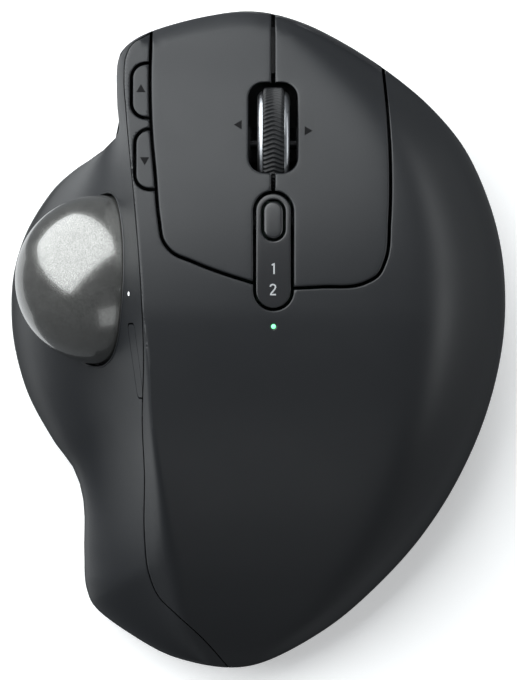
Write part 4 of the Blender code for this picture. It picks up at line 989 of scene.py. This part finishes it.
def make_marks():
    """The arrows on the buttons and beside the wheel, and the panel's two digits."""
    mark("mark_forward", arrow(-23.5, 50.3, 0), palm_top, "forward_button", MARK_DARK)
    mark("mark_back", arrow(-22.7, 36.1, 180), palm_top, "back_button", MARK_DARK)
    mark("mark_left", arrow(-3.8, 43.2, 90), key_top, "left_key", MARK_DARK)
    mark("mark_right", arrow(9.9, 42.0, -90), key_top, "right_key", MARK_DARK)
    one = [(-0.32, 0.62), (-0.1, 0.75), (0.1, 0.95), (0.1, 0.5), (0.1, 0.0), (0.1, -1.0)]
    two = [(-0.5, 0.55), (-0.42, 0.8), (-0.15, 0.96), (0.18, 0.94), (0.42, 0.75), (0.46, 0.45), (0.3, 0.1),
           (0.0, -0.28), (-0.35, -0.66), (-0.5, -0.86), (-0.1, -0.88), (0.55, -0.88)]
    mark("mark_one", stroke(one, 3.1, 14.3), panel_top, "body", MARK_LIGHT)
    mark("mark_two", stroke(two, 3.0, 10.05), panel_top, "body", MARK_LIGHT)


# Ball and wheel


def make_ball():
    """The ball, which is whole, though the cup hides most of it."""
    place(globe("control_ball", BALL, BALL_RADIUS, LOOKS["ball"]), "ball", "trackball", "ball")


def make_tyre():
    """The wheel's rubber tyre, with chevron grooves that point to the front."""
    ribs, per_rib, across = 76, 8, 20
    half, inner_radius = TYRE_HALF_WIDTH, WHEEL_RADIUS - 1.8 * MM
    groove_depth, shoulder_drop = 0.36 * MM, 0.5 * MM
    slant, tip_radius = 0.45, 0.35 * MM
    pitch = math.tau / ribs
    bm = bmesh.new()
    rows = []
    for i in range(ribs * per_rib):
        angle = math.tau * i / (ribs * per_rib)
        row = [bm.verts.new((-half, inner_radius * math.sin(angle), inner_radius * math.cos(angle)))]
        for j in range(across + 1):
            x = -half + 2 * half * j / across
            reach = math.hypot(x, tip_radius)
            phase = (angle + slant * reach / WHEEL_RADIUS) / pitch % 1.0
            groove = groove_depth * (0.5 + 0.5 * math.cos(math.tau * phase)) ** 1.2
            shoulder = shoulder_drop * (max(abs(x) / half - 0.72, 0) / 0.28) ** 2
            radius = WHEEL_RADIUS - shoulder - groove * (abs(x) < half * 0.99)
            row.append(bm.verts.new((x, radius * math.sin(angle), radius * math.cos(angle))))
        row.append(bm.verts.new((half, inner_radius * math.sin(angle), inner_radius * math.cos(angle))))
        rows.append(row)
    for i, row in enumerate(rows):
        following = rows[(i + 1) % len(rows)]
        for j in range(len(row)):
            k = (j + 1) % len(row)
            bm.faces.new((row[j], row[k], following[k], following[j]))
    tyre = add("ribbed_tyre", bm, LOOKS["rubber"], sharp=50)
    tyre.location = Vector(WHEEL.tolist())
    place(tyre, "wheel", "wheel_tyre", "rubber")


def make_rims():
    """The wheel's two steel rims, rounded outwards and hollow on their outer faces."""
    near, far, rim = TYRE_HALF_WIDTH + 0.1 * MM, WHEEL_HALF_WIDTH, WHEEL_RADIUS - 0.85 * MM
    hub, face_depth = 4 * MM, 0.3 * MM
    bend = np.linspace(0, math.pi / 2, 9)
    for side, name in ((-1, "left"), (1, "right")):
        profile = [(near, hub), (near, rim)]
        profile += [(near + (far - near) * math.sin(a), rim - 1.5 * MM * (1 - math.cos(a))) for a in bend[1:]]
        profile += [(far, rim - 2.4 * MM), (far - face_depth, rim - 2.7 * MM), (far - face_depth, hub)]
        ring = turned(f"{name}_wheel_rim", WHEEL, [(side * x, r) for x, r in profile], LOOKS["steel"])
        place(ring, "wheel", f"wheel_rim_{name}", "steel")


# Frame nodes


def finish_nodes():
    """Every solid that stays takes the finish of its own slot, or is blackened steel."""
    for part in frame["record"]["subparts"]:
        mesh = frame["nodes"][part["node"]].data
        mesh.materials.clear()
        look = "blackened" if part["node"] in BLACKENED else part["material_slot"]
        mesh.materials.append(LOOKS[look])


# Floor, lights and camera

FLOOR_REACH = 6.0
FLOOR_DROP = 0.1 * MM
FLOOR_GLOW = 0.35
SKY_COLOUR = (0.9, 0.95, 1.0, 1)
SKY_STRENGTH = 0.165
LAMP_COLOUR = (0.96, 0.99, 1.0)
# Each light's name, a corner, its two sides and its power
SOFTBOXES = [
    ("softbox_main", (-0.81, -0.37, 0.91), (1.33, 1.21, 0), (-1.56, 1.72, -2.08), 70),
    ("softbox_rear", (-0.02, -0.95, 0.4), (0.42, 0.16, 0), (-0.02, 0.24, 0.42), 0.6),
    ("softbox_right", (0.9, -0.35, -0.12), (0, 1.1, 0), (0, 0, 0.4), 3.0),
    ("softbox_left", (-1.0, -0.5, -0.75), (0, 0.8, 0), (0.9, 0, -0.5), 1.7),
]
FOCAL_LENGTH, SENSOR = 1000, 36
PICTURE_HEIGHT = 136.7 * MM
PICTURE_LEVEL = 0.6
PICTURE_X = 0.1 * MM


def make_floor():
    """White paper just under the pad, kept out of reflections and bounced light."""
    bm = bmesh.new()
    corners = [bm.verts.new((x * FLOOR_REACH, y * FLOOR_REACH, -FLOOR_DROP))
               for x, y in ((-1, -1), (1, -1), (1, 1), (-1, 1))]
    bm.faces.new(corners)
    mesh = bpy.data.meshes.new("floor")
    bm.to_mesh(mesh)
    bm.free()
    made, nodes, links, shader = shader_of("floor_paper", (0.86, 0.86, 0.86), 0.9)
    fine = noise(nodes, links, 900, 4)
    bump(nodes, links, shader, fine.outputs["Fac"], 0.02 * MM)
    shader.inputs["Emission Color"].default_value = (1, 1, 1, 1)
    shader.inputs["Emission Strength"].default_value = FLOOR_GLOW
    mesh.materials.append(made)
    floor = bpy.data.objects.new("floor", mesh)
    bpy.context.collection.objects.link(floor)
    floor.visible_glossy = False
    floor.visible_diffuse = False
    floor.visible_shadow = False


def make_sky():
    """An even, faint light from all round."""
    world = bpy.data.worlds.new("studio")
    world.use_nodes = True
    background = world.node_tree.nodes["Background"]
    background.inputs["Color"].default_value = SKY_COLOUR
    background.inputs["Strength"].default_value = SKY_STRENGTH
    bpy.context.scene.world = world


def softbox(name, corner, along, across, power):
    """A rectangular area light from its corner and two sides, shining on the object."""
    corner, along, across = Vector(corner), Vector(along), Vector(across)
    lamp = bpy.data.lights.new(name, "AREA")
    lamp.shape = "RECTANGLE"
    lamp.size, lamp.size_y = along.length, across.length
    lamp.energy = power
    lamp.color = LAMP_COLOUR
    obj = bpy.data.objects.new(name, lamp)
    centre = corner + (along + across) / 2
    x_axis, y_axis = along.normalized(), across.normalized()
    z_axis = x_axis.cross(y_axis)
    if z_axis.dot(centre) < 0:
        x_axis, z_axis = -x_axis, -z_axis
    turn = Matrix((x_axis, y_axis, z_axis)).transposed().to_4x4()
    obj.matrix_world = Matrix.Translation(centre) @ turn
    bpy.context.collection.objects.link(obj)


def make_camera():
    """A long lens straight above, with the picture's height at the shells' middle level."""
    lens = bpy.data.cameras.new("camera")
    lens.lens = FOCAL_LENGTH
    lens.sensor_width = SENSOR
    lens.sensor_height = SENSOR
    lens.sensor_fit = "AUTO"
    lens.clip_start = 0.1
    lens.clip_end = 100
    camera = bpy.data.objects.new("camera", lens)
    camera.location = (PICTURE_X, 0, HEIGHT * PICTURE_LEVEL + PICTURE_HEIGHT * FOCAL_LENGTH / SENSOR)
    bpy.context.collection.objects.link(camera)
    bpy.context.scene.camera = camera
    bpy.context.scene.view_settings.view_transform = "Standard"


make_thumb_shell()
make_palm_shell()
make_light_pipes()
make_keys()
make_key_tray()
make_thumb_buttons()
make_mode_panel()
make_precision_button()
make_marks()
make_ball()
make_tyre()
make_rims()
finish_nodes()
make_floor()
make_sky()
for light in SOFTBOXES:
    softbox(*light)
make_camera()
